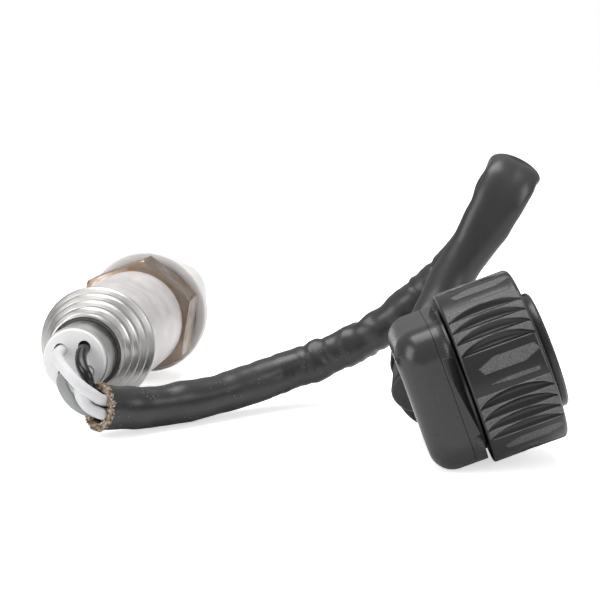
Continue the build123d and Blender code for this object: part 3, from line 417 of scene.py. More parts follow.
def sleeve_ring(number, radius, wrinkles=1.0):
    """One ring of points round the sleeve's line, dented and flattened as it is there."""
    point, mark = sleeve_line[number]
    across, up, ahead = sleeve_frames[number]
    share = within(mark, FOLD_MARKS)
    share = share * share * (3 - 2 * share)
    wide = Vector(FOLD_WIDE_WAY)
    wide = (wide - ahead * wide.dot(ahead)).normalized()
    thin = ahead.cross(wide)
    near_side = -1.0 if thin.y > 0 else 1.0
    gathered = within(mark, GATHER_MARKS)
    flare = MOUTH_FLARE * max(0.0, 1.0 - mark / MM / MOUTH_FLARE_RUN)
    ring = []
    for side in range(SLEEVE_SIDES):
        angle = tau * side / SLEEVE_SIDES
        out_dir = across * cos(angle) + up * sin(angle)
        dent = noise.noise(point * DENT_GRAIN + out_dir * DENT_ROUND) * DENT_DEPTH
        turned = Vector((mark * RIDGE_GRAIN, cos(angle) * RIDGE_ROUND, sin(angle) * RIDGE_ROUND))
        ridge = noise.noise(turned) * RIDGE_DEPTH
        wander = noise.noise(turned * GATHER_WANDER_GRAIN) * GATHER_WANDER
        slant = mark / MM * GATHER_TURN + wander + cos(angle) * GATHER_LEAN
        uneven = 1 - GATHER_UNEVEN + GATHER_UNEVEN * noise.noise(point * GATHER_GRAIN)
        gather = sin(slant) * GATHER_DEPTH * gathered * uneven
        facing = max(0.0, out_dir.dot(thin) * near_side)
        crease = CREASE_DEPTH * share * facing**CREASE_NARROW
        offset = out_dir * (radius + flare + (dent + ridge + gather - crease) * wrinkles)
        offset += wide * offset.dot(wide) * FOLD_WIDER * share
        offset -= thin * offset.dot(thin) * FOLD_THINNER * share
        ring.append(point + offset * MM)
    return ring


rings = []
for number in range(LINING_RINGS, -1, -1):
    ring = sleeve_ring(number, SLEEVE_INSIDE, LINING_WRINKLES)
    rings.append((ring, sleeve_line[number][1] - LINING_PATTERN_SHIFT))
for number in range(len(sleeve_points)):
    from_end = min(number, MOUTH_CALM_RINGS) / MOUTH_CALM_RINGS
    ring = sleeve_ring(number, SLEEVE_OUTSIDE, MOUTH_CALM + (1 - MOUTH_CALM) * from_end)
    rings.append((ring, sleeve_line[number][1]))
vertices, uvs = [], []
for ring, mark in rings:
    for side, place in enumerate(ring):
        vertices.append(place)
        uvs.append((mark / sleeve_total, side / SLEEVE_SIDES * PATTERN_ROUND))
faces = tube_faces(len(rings), SLEEVE_SIDES) + end_faces(len(rings), SLEEVE_SIDES)
harness = mesh_piece("harness_braid", vertices, faces, varnish, uvs)
mended(harness.data)

fibre, threads, yarn = finish_of("bare_glass_fibre", (0.50, 0.42, 0.32), 0.75)
knot = grain(threads, 1500, kind=CELLS)
yarn_tones = ((0.0, (0.86, 0.80, 0.68)), (0.35, (0.52, 0.42, 0.31)), (0.8, (0.16, 0.11, 0.08)))
colour_by(threads, yarn, tones(threads, knot, *yarn_tones))
bump_chain(threads, yarn, (knot, 0.9, 0.3))
harness.data.materials.append(fibre)
for polygon in harness.data.polygons:
    if min(polygon.vertices) // SLEEVE_SIDES <= LINING_RINGS:
        polygon.material_index = 1
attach(harness, "sensor")
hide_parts("harness_sleeve")

# ---------------------------------------------------------------- yarn ends
# Bare ends of glass yarn that stick out all over the sleeve's cut mouth, because the varnish
# stops there. They are set over a narrow band across the cut.

YARN_PER_SQUARE_METRE = 15e6
YARN_LENGTH = 0.42
YARN_THICKNESS = 0.12
YARN_SEED = 3
YARN_SMALLEST = 0.6
YARN_LARGEST = 1.3
# The band's edges, each a ring of the sleeve and a radius, from the inside out.
MOUTH_BANDS = ((1, 2.75), (0, 2.85), (0, 3.2), (0, 3.55), (0, 3.85), (1, 3.98))


def scattered(name, carrier, size, density, seed, material):
    """Small rounded grains set at random over a carrier, as one plain mesh."""
    tree = bpy.data.node_groups.new(name, "GeometryNodeTree")
    tree.interface.new_socket("Geometry", in_out="INPUT", socket_type="NodeSocketGeometry")
    amount = tree.interface.new_socket("Density", in_out="INPUT", socket_type="NodeSocketFloat")
    tree.interface.new_socket("Geometry", in_out="OUTPUT", socket_type="NodeSocketGeometry")
    enter = tree.nodes.new("NodeGroupInput")
    leave = tree.nodes.new("NodeGroupOutput")
    strewn = put(tree, "GeometryNodeDistributePointsOnFaces", Seed=seed)
    tree.links.new(enter.outputs["Geometry"], strewn.inputs["Mesh"])
    tree.links.new(enter.outputs["Density"], strewn.inputs["Density"])
    bead = put(tree, "GeometryNodeMeshIcoSphere", Radius=1.0, Subdivisions=2)
    turn = put(tree, "FunctionNodeRandomValue", data_type="FLOAT_VECTOR", Max=(tau, tau, tau))
    stretch = put(
        tree, "FunctionNodeRandomValue", data_type="FLOAT_VECTOR",
        Min=tuple(part * YARN_SMALLEST for part in size),
        Max=tuple(part * YARN_LARGEST for part in size),
    )
    placed = tree.nodes.new("GeometryNodeInstanceOnPoints")
    tree.links.new(strewn.outputs["Points"], placed.inputs["Points"])
    tree.links.new(bead.outputs["Mesh"], placed.inputs["Instance"])
    tree.links.new(turn.outputs["Value"], placed.inputs["Rotation"])
    tree.links.new(stretch.outputs["Value"], placed.inputs["Scale"])
    solid = tree.nodes.new("GeometryNodeRealizeInstances")
    painted = put(tree, "GeometryNodeSetMaterial", Material=material)
    tree.links.new(placed.outputs["Instances"], solid.inputs["Geometry"])
    tree.links.new(solid.outputs["Geometry"], painted.inputs["Geometry"])
    tree.links.new(painted.outputs["Geometry"], leave.inputs["Geometry"])
    strew = carrier.modifiers.new(name, "NODES")
    strew.node_group = tree
    strew[amount.identifier] = density
    mesh = plain_mesh(carrier)
    bpy.data.objects.remove(carrier)
    mesh.name = name
    mesh.shade_smooth()
    made = bpy.data.objects.new(name, mesh)
    bpy.context.scene.collection.objects.link(made)
    return made


band_vertices = []
for number, radius in MOUTH_BANDS:
    band_vertices += sleeve_ring(number, radius, MOUTH_CALM)
cut_edge = mesh_piece("cut_edge", band_vertices, tube_faces(len(MOUTH_BANDS), SLEEVE_SIDES))
yarn_size = (YARN_THICKNESS * MM, YARN_THICKNESS * MM, YARN_LENGTH * MM)
yarn_ends = scattered("yarn_ends", cut_edge, yarn_size, YARN_PER_SQUARE_METRE, YARN_SEED, fibre)
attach(yarn_ends, "sensor")

# ---------------------------------------------------------------- wires
# Four insulated leads: two white for the heater, a black and a grey for the signal. They come
# straight out of the grommet, turn down and run back into the sleeve.

WIRE_OUTSIDE = 1.05
WIRE_ROUTES = {
    "white_left": [
        (-2.56, -26.4, 14.83), (-2.56, -42.62, 14.83), (-1.6, -47.4, 14.3), (1.1, -51.0, 12.8),
        (3.9, -52.4, 10.5), (6.5, -51.6, 8.5), (6.9, -48.5, 7.0), (13.13, -40.97, 5.13),
        (17.26, -36.64, 5.18),
    ],
    "white_right": [
        (2.56, -26.4, 10.97), (2.56, -42.62, 10.97), (2.4, -46.2, 10.2), (2.9, -49.4, 8.2),
        (4.9, -50.8, 6.2), (7.0, -50.2, 5.1), (7.0, -47.9, 4.5), (13.13, -40.97, 2.87),
        (17.26, -36.64, 2.92),
    ],
    "black": [
        (1.93, -26.4, 15.46), (1.93, -42.62, 15.46), (2.1, -45.2, 14.3), (3.0, -47.8, 12.9),
        (4.6, -48.9, 11.0), (4.43, -47.23, 6.97), (11.47, -39.43, 5.13), (15.62, -35.08, 5.18),
    ],
    "grey": [
        (-1.93, -26.4, 10.34), (-1.93, -42.62, 10.34), (-1.6, -45.0, 9.3), (0.1, -47.2, 7.4),
        (2.4, -48.2, 5.8), (4.43, -47.23, 4.71), (11.47, -39.43, 2.87), (15.62, -35.08, 2.92),
    ],
}
# Colour, roughness and the record's slot of each insulation.
WIRE_LOOKS = {
    "white": ((0.66, 0.66, 0.67), 0.42, "white_insulation"),
    "black": ((0.006, 0.006, 0.007), 0.26, "black_insulation"),
    "grey": ((0.30, 0.31, 0.31), 0.40, "grey_insulation"),
}
SMEAR_SHADE = 0.86
wire_finishes = {}
for look, (colour, roughness, slot) in WIRE_LOOKS.items():
    skin, tree, bsdf = finish_of(f"{look}_insulation", colour, roughness)
    smear = grain(tree, (700, 300, 700), 3.0)
    colour_by(tree, bsdf, mix_tone(tree, smear, colour, tuple(part * SMEAR_SHADE for part in colour)))
    bump_chain(tree, bsdf, (smear, 0.1, 0.06))
    wire_finishes[look] = (skin, slot)

for name, route in WIRE_ROUTES.items():
    lead = cord_curve(f"lead_{name}", route)
    lead.data.bevel_depth = WIRE_OUTSIDE * MM
    lead.data.bevel_resolution = 5
    lead.data.use_fill_caps = True
    skin, slot = wire_finishes[name.split("_")[0]]
    lead.data.materials.append(skin)
    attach(lead, "sensor")
    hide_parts(f"wire_{name}")

# ---------------------------------------------------------------- grommet
# White fluoropolymer plug that the four leads come out of. It keeps the CAD's own shape, as
# every dressed piece does.

AXIS_HEIGHT = 12.9
ROUND_ANGLE = 28.0
JOIN_DISTANCE = 0.000002


def dressed(node, name, material, angle=ROUND_ANGLE, body="sensor"):
    """A CAD node's own shape with its corners joined and its round faces shaded smooth."""
    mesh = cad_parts[node].data.copy()
    mesh.name = name
    mended(mesh, JOIN_DISTANCE, outward=False)
    mesh.materials.clear()
    mesh.materials.append(material)
    mesh.shade_smooth()
    mesh.set_sharp_from_angle(angle=radians(angle))
    piece = bpy.data.objects.new(name, mesh)
    bpy.context.scene.collection.objects.link(piece)
    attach(piece, body)
    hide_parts(node)
    return piece


grommet_white, tree, bsdf = finish_of("white_fluoropolymer", (0.80, 0.80, 0.79), 0.45)
cloud = grain(tree, 400, 3.0)
colour_by(tree, bsdf, tones(tree, cloud, (0.3, (0.78, 0.78, 0.78)), (0.7, (0.74, 0.74, 0.74))))
bump_chain(tree, bsdf, (cloud, 0.1, 0.1))
dressed("wire_grommet", "grommet", grommet_white)

# ---------------------------------------------------------------- end sleeve
# Drawn from thin sheet in four rounded steps, with a fine groove at the foot of each. Marks
# from the drawing run round the sensor's axis.

GROMMET_FACE = min(v.co.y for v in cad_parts["wire_grommet"].data.vertices) / MM
SPIN_SIDES = 192
SPIN_ANGLE = 35.0
SLEEVE_FRONT = 7.5
SLEEVE_BACK = 16.7
NECK_OUTSIDE = 7.15
RIM_OUTSIDE = 11.15
SHEET = 0.35
SKIRT_INSIDE = 10.35
STEPS = 4
STEPS_START = 9.6
STEP_PITCH = 1.87
STEP_RUN = 1.15
STEP_FULLNESS = 1.3
GROOVE_DEPTH = 0.30
GROOVE_AHEAD = 0.12
GROOVE_HALF_WIDTH = 0.22
OUTLINE_STEP = 0.06
INSIDE_EVERY = 6  # the inside takes one outline point in six
LINES_ROUND = 5200.0
LINES_ACROSS = 60.0


def turned_steel(name, colour, roughness, marks=0.25, metallic=1.0, stain=None, stain_share=()):
    """Drawn or turned steel, with fine marks running round the sensor's axis."""
    material, tree, bsdf = finish_of(name, colour, roughness, metallic)
    spot = put(tree, "ShaderNodeTexCoord")
    split = put(tree, "ShaderNodeSeparateXYZ")
    tree.links.new(spot.outputs["Object"], split.inputs[0])
    height = worked(tree, split.outputs["Z"], AXIS_HEIGHT * MM, "SUBTRACT")
    sideways = worked(tree, split.outputs["X"], split.outputs["X"])
    squares = worked(tree, sideways, worked(tree, height, height), "ADD")
    radius = worked(tree, squares, 0.5, "POWER")
    run = worked(tree, split.outputs["Y"], radius, "ADD")
    lines = put(tree, "ShaderNodeCombineXYZ")
    tree.links.new(worked(tree, split.outputs["X"], LINES_ACROSS), lines.inputs[0])
    tree.links.new(worked(tree, run, LINES_ROUND), lines.inputs[1])
    tree.links.new(worked(tree, height, LINES_ACROSS), lines.inputs[2])
    scratch = grain(tree, lines.outputs[0], 3.0)
    patchy = grain(tree, 240, 4.0)
    bump_chain(tree, bsdf, (scratch, marks, 0.012), (patchy, 0.03, 0.06))
    low, high = roughness * 0.8, roughness * 1.35
    tree.links.new(tones(tree, patchy, (0.35, low), (0.65, high)), bsdf.inputs["Roughness"])
    shade = tuple(part * 0.84 for part in colour)
    tone = mix_tone(tree, tones(tree, scratch, (0.35, 0.0), (0.7, 1.0)), colour, shade)
    if stain is not None:
        share = tones(tree, patchy, (stain_share[0], 0.0), (stain_share[1], 1.0))
        tone = mix_tone(tree, share, tone, stain)
    colour_by(tree, bsdf, tone)
    return material


def turned_faces(sides, count, closed=True):
    """The faces between copies of an outline of points, turned round an axis."""
    faces = []
    for side in range(sides):
        first, beside = side * count, (side + 1) % sides * count
        for at in range(count if closed else count - 1):
            after = (at + 1) % count
            faces.append((first + at, first + after, beside + after, beside + at))
    return faces


def spun(node, name, outline, material):
    """A closed outline of (station, radius) points turned round the sensor's axis."""
    vertices = []
    for side in range(SPIN_SIDES):
        turn = tau * side / SPIN_SIDES
        for station, radius in outline:
            place = (radius * sin(turn), GROMMET_FACE + station, AXIS_HEIGHT + radius * cos(turn))
            vertices.append(Vector(place) * MM)
    piece = mesh_piece(name, vertices, turned_faces(SPIN_SIDES, len(outline)), material)
    mended(piece.data)
    piece.data.set_sharp_from_angle(angle=radians(SPIN_ANGLE))
    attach(piece, "sensor")
    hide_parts(node)
    return piece


def stepped_radius(station):
    """The end sleeve's outside radius at a station."""
    rise = (RIM_OUTSIDE - NECK_OUTSIDE) / STEPS
    radius = NECK_OUTSIDE
    for step in range(STEPS):
        into = station - STEPS_START - STEP_PITCH * step
        share = max(0.0, min(1.0, into / STEP_RUN))
        radius += rise * sin(share * pi / 2) ** STEP_FULLNESS
        foot = (into + GROOVE_AHEAD) / GROOVE_HALF_WIDTH
        radius -= GROOVE_DEPTH * max(0.0, 1.0 - foot * foot)
    return radius


drawn_steel = turned_steel("drawn_steel", (0.57, 0.56, 0.545), 0.36, 0.10)
# Both lips are rounded over a fifth of a millimetre.
front_lip = [(SLEEVE_FRONT, NECK_OUTSIDE - 0.18), (SLEEVE_FRONT + 0.08, NECK_OUTSIDE - 0.05)]
outside = []
station = SLEEVE_FRONT + 0.2
while station < SLEEVE_BACK - 0.25:
    outside.append((station, stepped_radius(station)))
    station += OUTLINE_STEP
back_lip = [
    (SLEEVE_BACK - 0.12, RIM_OUTSIDE - 0.04), (SLEEVE_BACK, RIM_OUTSIDE - 0.18),
    (SLEEVE_BACK, SKIRT_INSIDE), (SLEEVE_BACK - SHEET, SKIRT_INSIDE),
]
inside = [(station, radius - SHEET) for station, radius in reversed(outside[::INSIDE_EVERY])]
inside.append((SLEEVE_FRONT, NECK_OUTSIDE - SHEET))
sleeve_outline = front_lip + outside + back_lip + inside
spun("stepped_sleeve", "end_sleeve", sleeve_outline, drawn_steel)

# ---------------------------------------------------------------- barrel
# A plain bright tube with its front edge under the end sleeve's skirt, and the small drawn
# tube that grips the grommet.

BARREL_OUTSIDE = 10.3
BARREL_INSIDE = 9.7
BARREL_PARTS = 20


def span_of(node):
    """Where a CAD node starts and ends along the sensor, from the grommet's face."""
    stations = [v.co.y / MM - GROMMET_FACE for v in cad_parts[node].data.vertices]
    return min(stations), max(stations)


barrel_steel = turned_steel("barrel_steel", (0.80, 0.765, 0.76), 0.42, 0.06, metallic=0.5)
start, end = span_of("barrel_sleeve")
barrel_outline = [(start, BARREL_INSIDE)]
for part in range(BARREL_PARTS + 1):
    barrel_outline.append((start + (end - start) * part / BARREL_PARTS, BARREL_OUTSIDE))
barrel_outline.append((end, BARREL_INSIDE))
spun("barrel_sleeve", "barrel", barrel_outline, barrel_steel)
dressed("crimp_tube", "grommet_tube", drawn_steel)

# ---------------------------------------------------------------- crush washer
# A ring of folded sheet, dark from use and narrow enough to hide behind the hexagon's flats.

WASHER_INSIDE = 8.7
WASHER_FACE = 10.6
WASHER_OUTSIDE = 10.9
WASHER_ROUND = 0.3

dark_steel = turned_steel("dark_steel", (0.26, 0.24, 0.23), 0.40, 0.2)
start, end = span_of("sealing_washer")
washer_outline = [
    (start, WASHER_INSIDE), (start, WASHER_FACE), (start + WASHER_ROUND, WASHER_OUTSIDE),
    (end - WASHER_ROUND, WASHER_OUTSIDE), (end, WASHER_FACE), (end, WASHER_INSIDE),
]
spun("sealing_washer", "crush_washer", washer_outline, dark_steel)

# ---------------------------------------------------------------- shields
# Two drawn tubes over the element, slotted outside and drilled inside, under the cap at rest.

dressed("outer_shield", "outer_tube", drawn_steel)
dressed("inner_shield", "inner_tube", drawn_steel)

# ---------------------------------------------------------------- vent filter
# A porous ring between grommet tube and end sleeve, just behind the sleeve's lip, coloured near black as
# painted shade for the gap there.

FILTER_OUTLINE = ((7.65, 6.15), (7.65, 6.6), (7.8, 6.75), (13.6, 6.75), (13.6, 6.15))

# Painted shade: the ring's near-black colour stands for the shadow in the gap between the tubes.
filter_painted_shade, tree, bsdf = finish_of("porous_ring_painted_shade", (0.09, 0.09, 0.09), 0.8)
pores = grain(tree, 3000)
colour_by(tree, bsdf, tones(tree, pores, (0.35, 0.06), (0.7, 0.14)))
bump_chain(tree, bsdf, (pores, 0.6, 0.06))
spun("vent_filter", "filter", FILTER_OUTLINE, filter_painted_shade)

# ---------------------------------------------------------------- body and thread
# A machined hexagon, tinted brown by heat. Its thread is rolled: the CAD's plain cylinder is
# drawn in to the thread's root, and the helix stands on it.

THREAD_CREST = 9.0
THREAD_ROOT = 8.1
THREAD_PITCH = 1.5
THREAD_INSET = 0.02  # sinks the helix's foot and crest a little, to clear other surfaces
THREAD_FLAT = 1.25
THREAD_FLANK = 2.9
THREAD_FLANK_STEPS = 8
THREAD_TURN_STEPS = 120
THREAD_ANGLE = 50
ON_THREAD = 0.02  # how close to the crest's radius a point of the CAD's cylinder lies


def out_from_axis(place):
    """The way from the sensor's axis to a place, across the axis."""
    return Vector((place.x, 0, place.z - AXIS_HEIGHT * MM))


hex_steel = turned_steel(
    "heat_tinted_steel", (0.36, 0.30, 0.26), 0.40, 0.2, 0.8,
    stain=(0.22, 0.13, 0.07), stain_share=(0.35, 0.72),
)
body = dressed("sensor_body", "hexagon_body", hex_steel)
on_thread = [
    v for v in body.data.vertices if abs(out_from_axis(v.co).length / MM - THREAD_CREST) < ON_THREAD
]
thread_front = min(v.co.y for v in on_thread) / MM
thread_back = max(v.co.y for v in on_thread) / MM
for vertex in on_thread:
    vertex.co -= out_from_axis(vertex.co) * (1 - THREAD_ROOT / THREAD_CREST)
thread_rows = int((thread_back - thread_front) / THREAD_PITCH * THREAD_FLANK_STEPS)
thread_vertices = []
for row in range(thread_rows + 1):
    station = thread_front + (thread_back - thread_front) * row / thread_rows
    fade = min(1.0, row / THREAD_FLANK_STEPS, (thread_rows - row) / THREAD_FLANK_STEPS)
    for step in range(THREAD_TURN_STEPS):
        turn = tau * step / THREAD_TURN_STEPS
        phase = (station / THREAD_PITCH - step / THREAD_TURN_STEPS) % 1.0
        ridge = min(1.0, max(0.0, THREAD_FLAT - abs(phase - 0.5) * THREAD_FLANK))
        depth = THREAD_CREST - THREAD_ROOT - 2 * THREAD_INSET
        radius = THREAD_ROOT + THREAD_INSET + depth * ridge * fade
        place = (radius * sin(turn), station, AXIS_HEIGHT + radius * cos(turn))
        thread_vertices.append(Vector(place) * MM)
thread_faces = tube_faces(thread_rows + 1, THREAD_TURN_STEPS)
thread_faces += end_faces(thread_rows + 1, THREAD_TURN_STEPS)
thread = mesh_piece("rolled_thread", thread_vertices, thread_faces, hex_steel)
mended(thread.data)
thread.data.set_sharp_from_angle(angle=radians(THREAD_ANGLE))
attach(thread, "sensor")

# ---------------------------------------------------------------- ceramics and springs
# Fired white ceramics and spring strips, hidden until the sensor is taken apart.

ceramic, tree, bsdf = finish_of("fired_ceramic", (0.80, 0.78, 0.73), 0.55)
speckle = grain(tree, 1800, 3.0)
colour_by(tree, bsdf, tones(tree, speckle, (0.35, (0.82, 0.80, 0.76)), (0.7, (0.72, 0.70, 0.65))))
bump_chain(tree, bsdf, (speckle, 0.3, 0.03))
for node, slot in (
    ("sensing_element", "zirconia"),
    ("heater_rod", "alumina"),
    ("packing_ring", "talc"),
    ("support_ceramic", "alumina"),
    ("terminal_carrier", "alumina"),
):
    dressed(node, f"{node}_fired", ceramic)
dressed("contact_springs", "spring_strips", drawn_steel)

# ---------------------------------------------------------------- thread cap
# A soft white polyethylene cap pushed over the thread, with a wide flange at its mouth.

cap_white, tree, bsdf = finish_of(
    "white_polyethylene", (0.80, 0.80, 0.79), 0.42, Subsurface_Weight=0.15, Subsurface_Scale=0.002
)
ripple = grain(tree, (300, 500, 300), 3.0)
bump_chain(tree, bsdf, (ripple, 0.12, 0.15))
colour_by(tree, bsdf, tones(tree, ripple, (0.3, (0.83, 0.83, 0.82)), (0.7, (0.78, 0.78, 0.77))))
dressed("thread_cap", "cap_shell", cap_white, body="cap")

# ---------------------------------------------------------------- plug housing
# Glass-filled black nylon with a faint spark texture and flow marks: plug body with its flange
# plate and hub, snap-on rear cover, cable outlet and contact insert.

HOUSING_TONE = (0.026, 0.026, 0.027)
HOUSING_ROUGHNESS = 0.27
HOUSING_ANGLE = 32.0

housing_black, tree, bsdf = finish_of("housing_nylon", HOUSING_TONE, HOUSING_ROUGHNESS)
pits = grain(tree, 2400, 3.0)
flow = grain(tree, 120, 3.0)
bump_chain(tree, bsdf, (pits, 0.06, 0.04), (flow, 0.2, 0.15))
sheen = tones(tree, flow, (0.3, HOUSING_ROUGHNESS * 0.85), (0.7, HOUSING_ROUGHNESS * 1.2))
tree.links.new(sheen, bsdf.inputs["Roughness"])
lighter = tuple(part * 1.2 + 0.003 for part in HOUSING_TONE)
pale = tones(tree, pits, (0.55, 0.0), (0.8, 1.0))
colour_by(tree, bsdf, mix_tone(tree, pale, HOUSING_TONE, lighter))
connector_pieces = [
    dressed("plug_body", "plug_shell", housing_black, HOUSING_ANGLE),
    dressed("rear_cover", "rear_shell", housing_black, HOUSING_ANGLE),
    dressed("cable_outlet", "outlet_collar", housing_black, HOUSING_ANGLE),
    dressed("contact_insert", "insert", housing_black, HOUSING_ANGLE),
]

# ---------------------------------------------------------------- coupling ring
# The turning bayonet ring: six groups of four scooped grips with smooth lands between them, a
# spark-textured strip and a narrow second one on each land, and three lugs in its cavity.

CONNECTOR_CENTRE = (76.8, -52.0, 16.1)
CONNECTOR_YAW = radians(9.4)
CONNECTOR_PITCH = radians(20.2)
RING_RADIUS = 14.9
RING_HALF = 6.6
RING_ROUND = 1.0
RING_REAR_ROUND = 0.4
RING_BORE = 10.08
RING_CAVITY = 12.6
RING_LEDGE = -2.6
RING_STEPS = 1080
RING_ROWS = 64
RING_ANGLE = 34
GROUPS = 6
GROUP_ANGLE = 360 / GROUPS
LAND_ANGLE = 168.5
SCOOPS = 4
SCOOP_PITCH = 8.3
SCOOP_DEPTH = 0.80
SCOOP_REACH = 6.25
SCOOP_NARROWING = 1.25
SCOOP_SHALLOWING = 0.6
FAR_FROM_EDGE = 9.0
# Width and reach of the painted highlight along each scoop's straight crest.
CREST_HIGHLIGHT_WIDTH = 0.4
CREST_HIGHLIGHT_END = 5.9
CORNER_START = 1.5
STRIP_MIDDLE = -3.5
STRIP_HALF_WIDTH = 4.6
STRIP_HALF_LENGTH = 3.4
STRIP_SLANT = 0.25
STRIP_TAPER = 2.6
SECOND_MIDDLE = 8.0
SECOND_HALF_WIDTH = 1.5
SECOND_NARROWING = 0.2
SECOND_TAPER = 0.35
SECOND_END = 5.0
STRIP_SINK = 0.05
LUGS = 3
LUG_ANGLE = 34.0
LUG_PARTS = 12
LUG_INSIDE = 11.6
LUG_OUTSIDE = 13.0
LUG_FRONT = RING_HALF - 1.5
LUG_BACK = LUG_FRONT - 2.2
NYLON = (0.018, 0.018, 0.019)

mating = Vector((
    cos(CONNECTOR_PITCH) * cos(CONNECTOR_YAW), cos(CONNECTOR_PITCH) * sin(CONNECTOR_YAW),
    sin(CONNECTOR_PITCH),
))
far = Vector((-sin(CONNECTOR_YAW), cos(CONNECTOR_YAW), 0))
rise = mating.cross(far)


def on_connector(x, y, h):
    """A place in the connector's own frame, as one in the part's."""
    return (Vector(CONNECTOR_CENTRE) + far * x + rise * y + mating * h) * MM


def scoop_depth(angle, h):
    """How deep the grip is cut here, and how near the place is to a scoop's edge, in degrees.

    Each scoop ends in a straight crest on its later side and in a bow on its earlier one.
    """
    first = GROUP_ANGLE / 2 - SCOOP_PITCH * SCOOPS / 2
    number = int((angle - first) // SCOOP_PITCH)
    fade = sqrt(max(0.0, 1 - (h / SCOOP_REACH) ** 2))
    if not 0 <= number < SCOOPS or fade == 0.0:
        return 0.0, FAR_FROM_EDGE
    begins = first + SCOOP_PITCH * number
    ends = first + SCOOP_PITCH * (number + 1)
    width = SCOOP_PITCH * fade**SCOOP_NARROWING
    share = 1 - (ends - angle) / width
    edge = min(abs(ends - angle), abs(angle - (ends - width)), abs(angle - begins))
    if share <= 0.0:
        return 0.0, edge
    return SCOOP_DEPTH * fade**SCOOP_SHALLOWING * (1 - (2 * share - 1) ** 2), edge


def on_strip(from_land, h):
    """Whether one of a land's spark-textured strips covers this place."""
    pointed = max(0.0, abs(h + from_land * STRIP_SLANT) - STRIP_HALF_LENGTH) * STRIP_TAPER
    narrow = max(0.0, SECOND_NARROWING - h * SECOND_TAPER)
    first = abs(from_land - STRIP_MIDDLE) + pointed < STRIP_HALF_WIDTH
    second = abs(from_land - SECOND_MIDDLE) + narrow < SECOND_HALF_WIDTH
    return first or (second and abs(h) < SECOND_END)


outer_rows = []
for row in range(RING_ROWS + 1):
    outer_rows.append(-RING_HALF + 2 * RING_HALF * (0.5 - 0.5 * cos(pi * row / RING_ROWS)))
bore_outline = [
    (RING_HALF, RING_CAVITY), (RING_LEDGE, RING_CAVITY), (RING_LEDGE, RING_BORE), (-RING_HALF, RING_BORE),
]
ring_vertices, spark_marks, crest_highlight_marks = [], [], []


def ring_point(turn, h, radius, spark=0.0, crest=0.0):
    """Adds a point of the ring, with how spark-textured it is and how much painted highlight its crest
    carries.
    """
    ring_vertices.append(on_connector(radius * cos(turn), radius * sin(turn), h))
    spark_marks.append(spark)
    crest_highlight_marks.append(crest)


for step in range(RING_STEPS):
    angle = 360 * step / RING_STEPS
    from_land = (angle - LAND_ANGLE + GROUP_ANGLE / 2) % GROUP_ANGLE - GROUP_ANGLE / 2
    turn = radians(angle)
    for h in outer_rows:
        bend = RING_ROUND if h > 0 else RING_REAR_ROUND
        over = max(0.0, abs(h) - (RING_HALF - bend))
        plain = RING_RADIUS - bend + sqrt(max(0.0, bend**2 - over * over))
        below, near = scoop_depth(from_land % GROUP_ANGLE, h)
        # Painted highlight: points near a scoop's straight crest get a pale mark.
        crest = max(0.0, 1.0 - near / CREST_HIGHLIGHT_WIDTH) if abs(h) < CREST_HIGHLIGHT_END else 0.0
        strip = on_strip(from_land, h)
        corner = near < FAR_FROM_EDGE and below == 0.0 and abs(h) > CORNER_START
        radius = plain - below - (STRIP_SINK if strip else 0.0)
        ring_point(turn, h, radius, 1.0 if strip or corner else 0.0, crest)
    for h, radius in bore_outline:
        ring_point(turn, h, radius)
ring_faces = turned_faces(RING_STEPS, len(outer_rows) + len(bore_outline))
lug_outline = (
    (LUG_FRONT, LUG_INSIDE), (LUG_FRONT, LUG_OUTSIDE), (LUG_BACK, LUG_OUTSIDE), (LUG_BACK, LUG_INSIDE)
)
for lug in range(LUGS):
    first = len(ring_vertices)
    for part in range(LUG_PARTS + 1):
        angle = LAND_ANGLE + lug * 120 - LUG_ANGLE / 2 + LUG_ANGLE * part / LUG_PARTS
        for h, radius in lug_outline:
            ring_point(radians(angle), h, radius)
    for part in range(LUG_PARTS):
        for at in range(4):
            a, b = first + part * 4 + at, first + part * 4 + (at + 1) % 4
            ring_faces.append((a, b, b + 4, a + 4))
    last = first + LUG_PARTS * 4
    ring_faces.append((first, first + 1, first + 2, first + 3))
    ring_faces.append((last + 3, last + 2, last + 1, last))

grip, tree, bsdf = finish_of("ring_nylon", NYLON, 0.34, Specular_IOR_Level=0.42)
spark = put(tree, "ShaderNodeAttribute", attribute_name="spark")
crest = put(tree, "ShaderNodeAttribute", attribute_name="crest")
pits = grain(tree, 3200, 3.0)
flow = grain(tree, 260, 3.0)
pitted = worked(tree, pits, spark.outputs["Fac"])
bump_chain(tree, bsdf, (pitted, 0.9, 0.12), (pits, 0.18, 0.03), (flow, 0.15, 0.1))
lit = mix_tone(tree, worked(tree, pitted, 1.3), NYLON, (0.14, 0.14, 0.14))
# Painted highlight: the crests are coloured pale grey, varied by the flow noise, to stand for the light
# they catch.
painted_crest_highlight = worked(tree, crest.outputs["Fac"], tones(tree, flow, (0.35, 0.35), (0.65, 1.0)))
colour_by(tree, bsdf, mix_tone(tree, painted_crest_highlight, lit, (0.30, 0.30, 0.30)))
dull = tones(tree, spark.outputs["Fac"], (0.0, 0.30), (1.0, 0.60))
tree.links.new(dull, bsdf.inputs["Roughness"])
bayonet = mesh_piece("bayonet_ring", ring_vertices, ring_faces, grip)
for name, marks in (("spark", spark_marks), ("crest", crest_highlight_marks)):
    layer = bayonet.data.attributes.new(name, "FLOAT", "POINT")
    layer.data.foreach_set("value", marks)
mended(bayonet.data)
bayonet.data.set_sharp_from_angle(angle=radians(RING_ANGLE))
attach(bayonet, "ring")
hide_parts("coupling_ring")
connector_pieces.append(bayonet)

# ---------------------------------------------------------------- clamp flange and boss
# The clamp's round flange on the cover's far side, the closed end of its spigot, and the boss
# that the ring runs against. They are discs with a rounded edge, in the connector's frame.

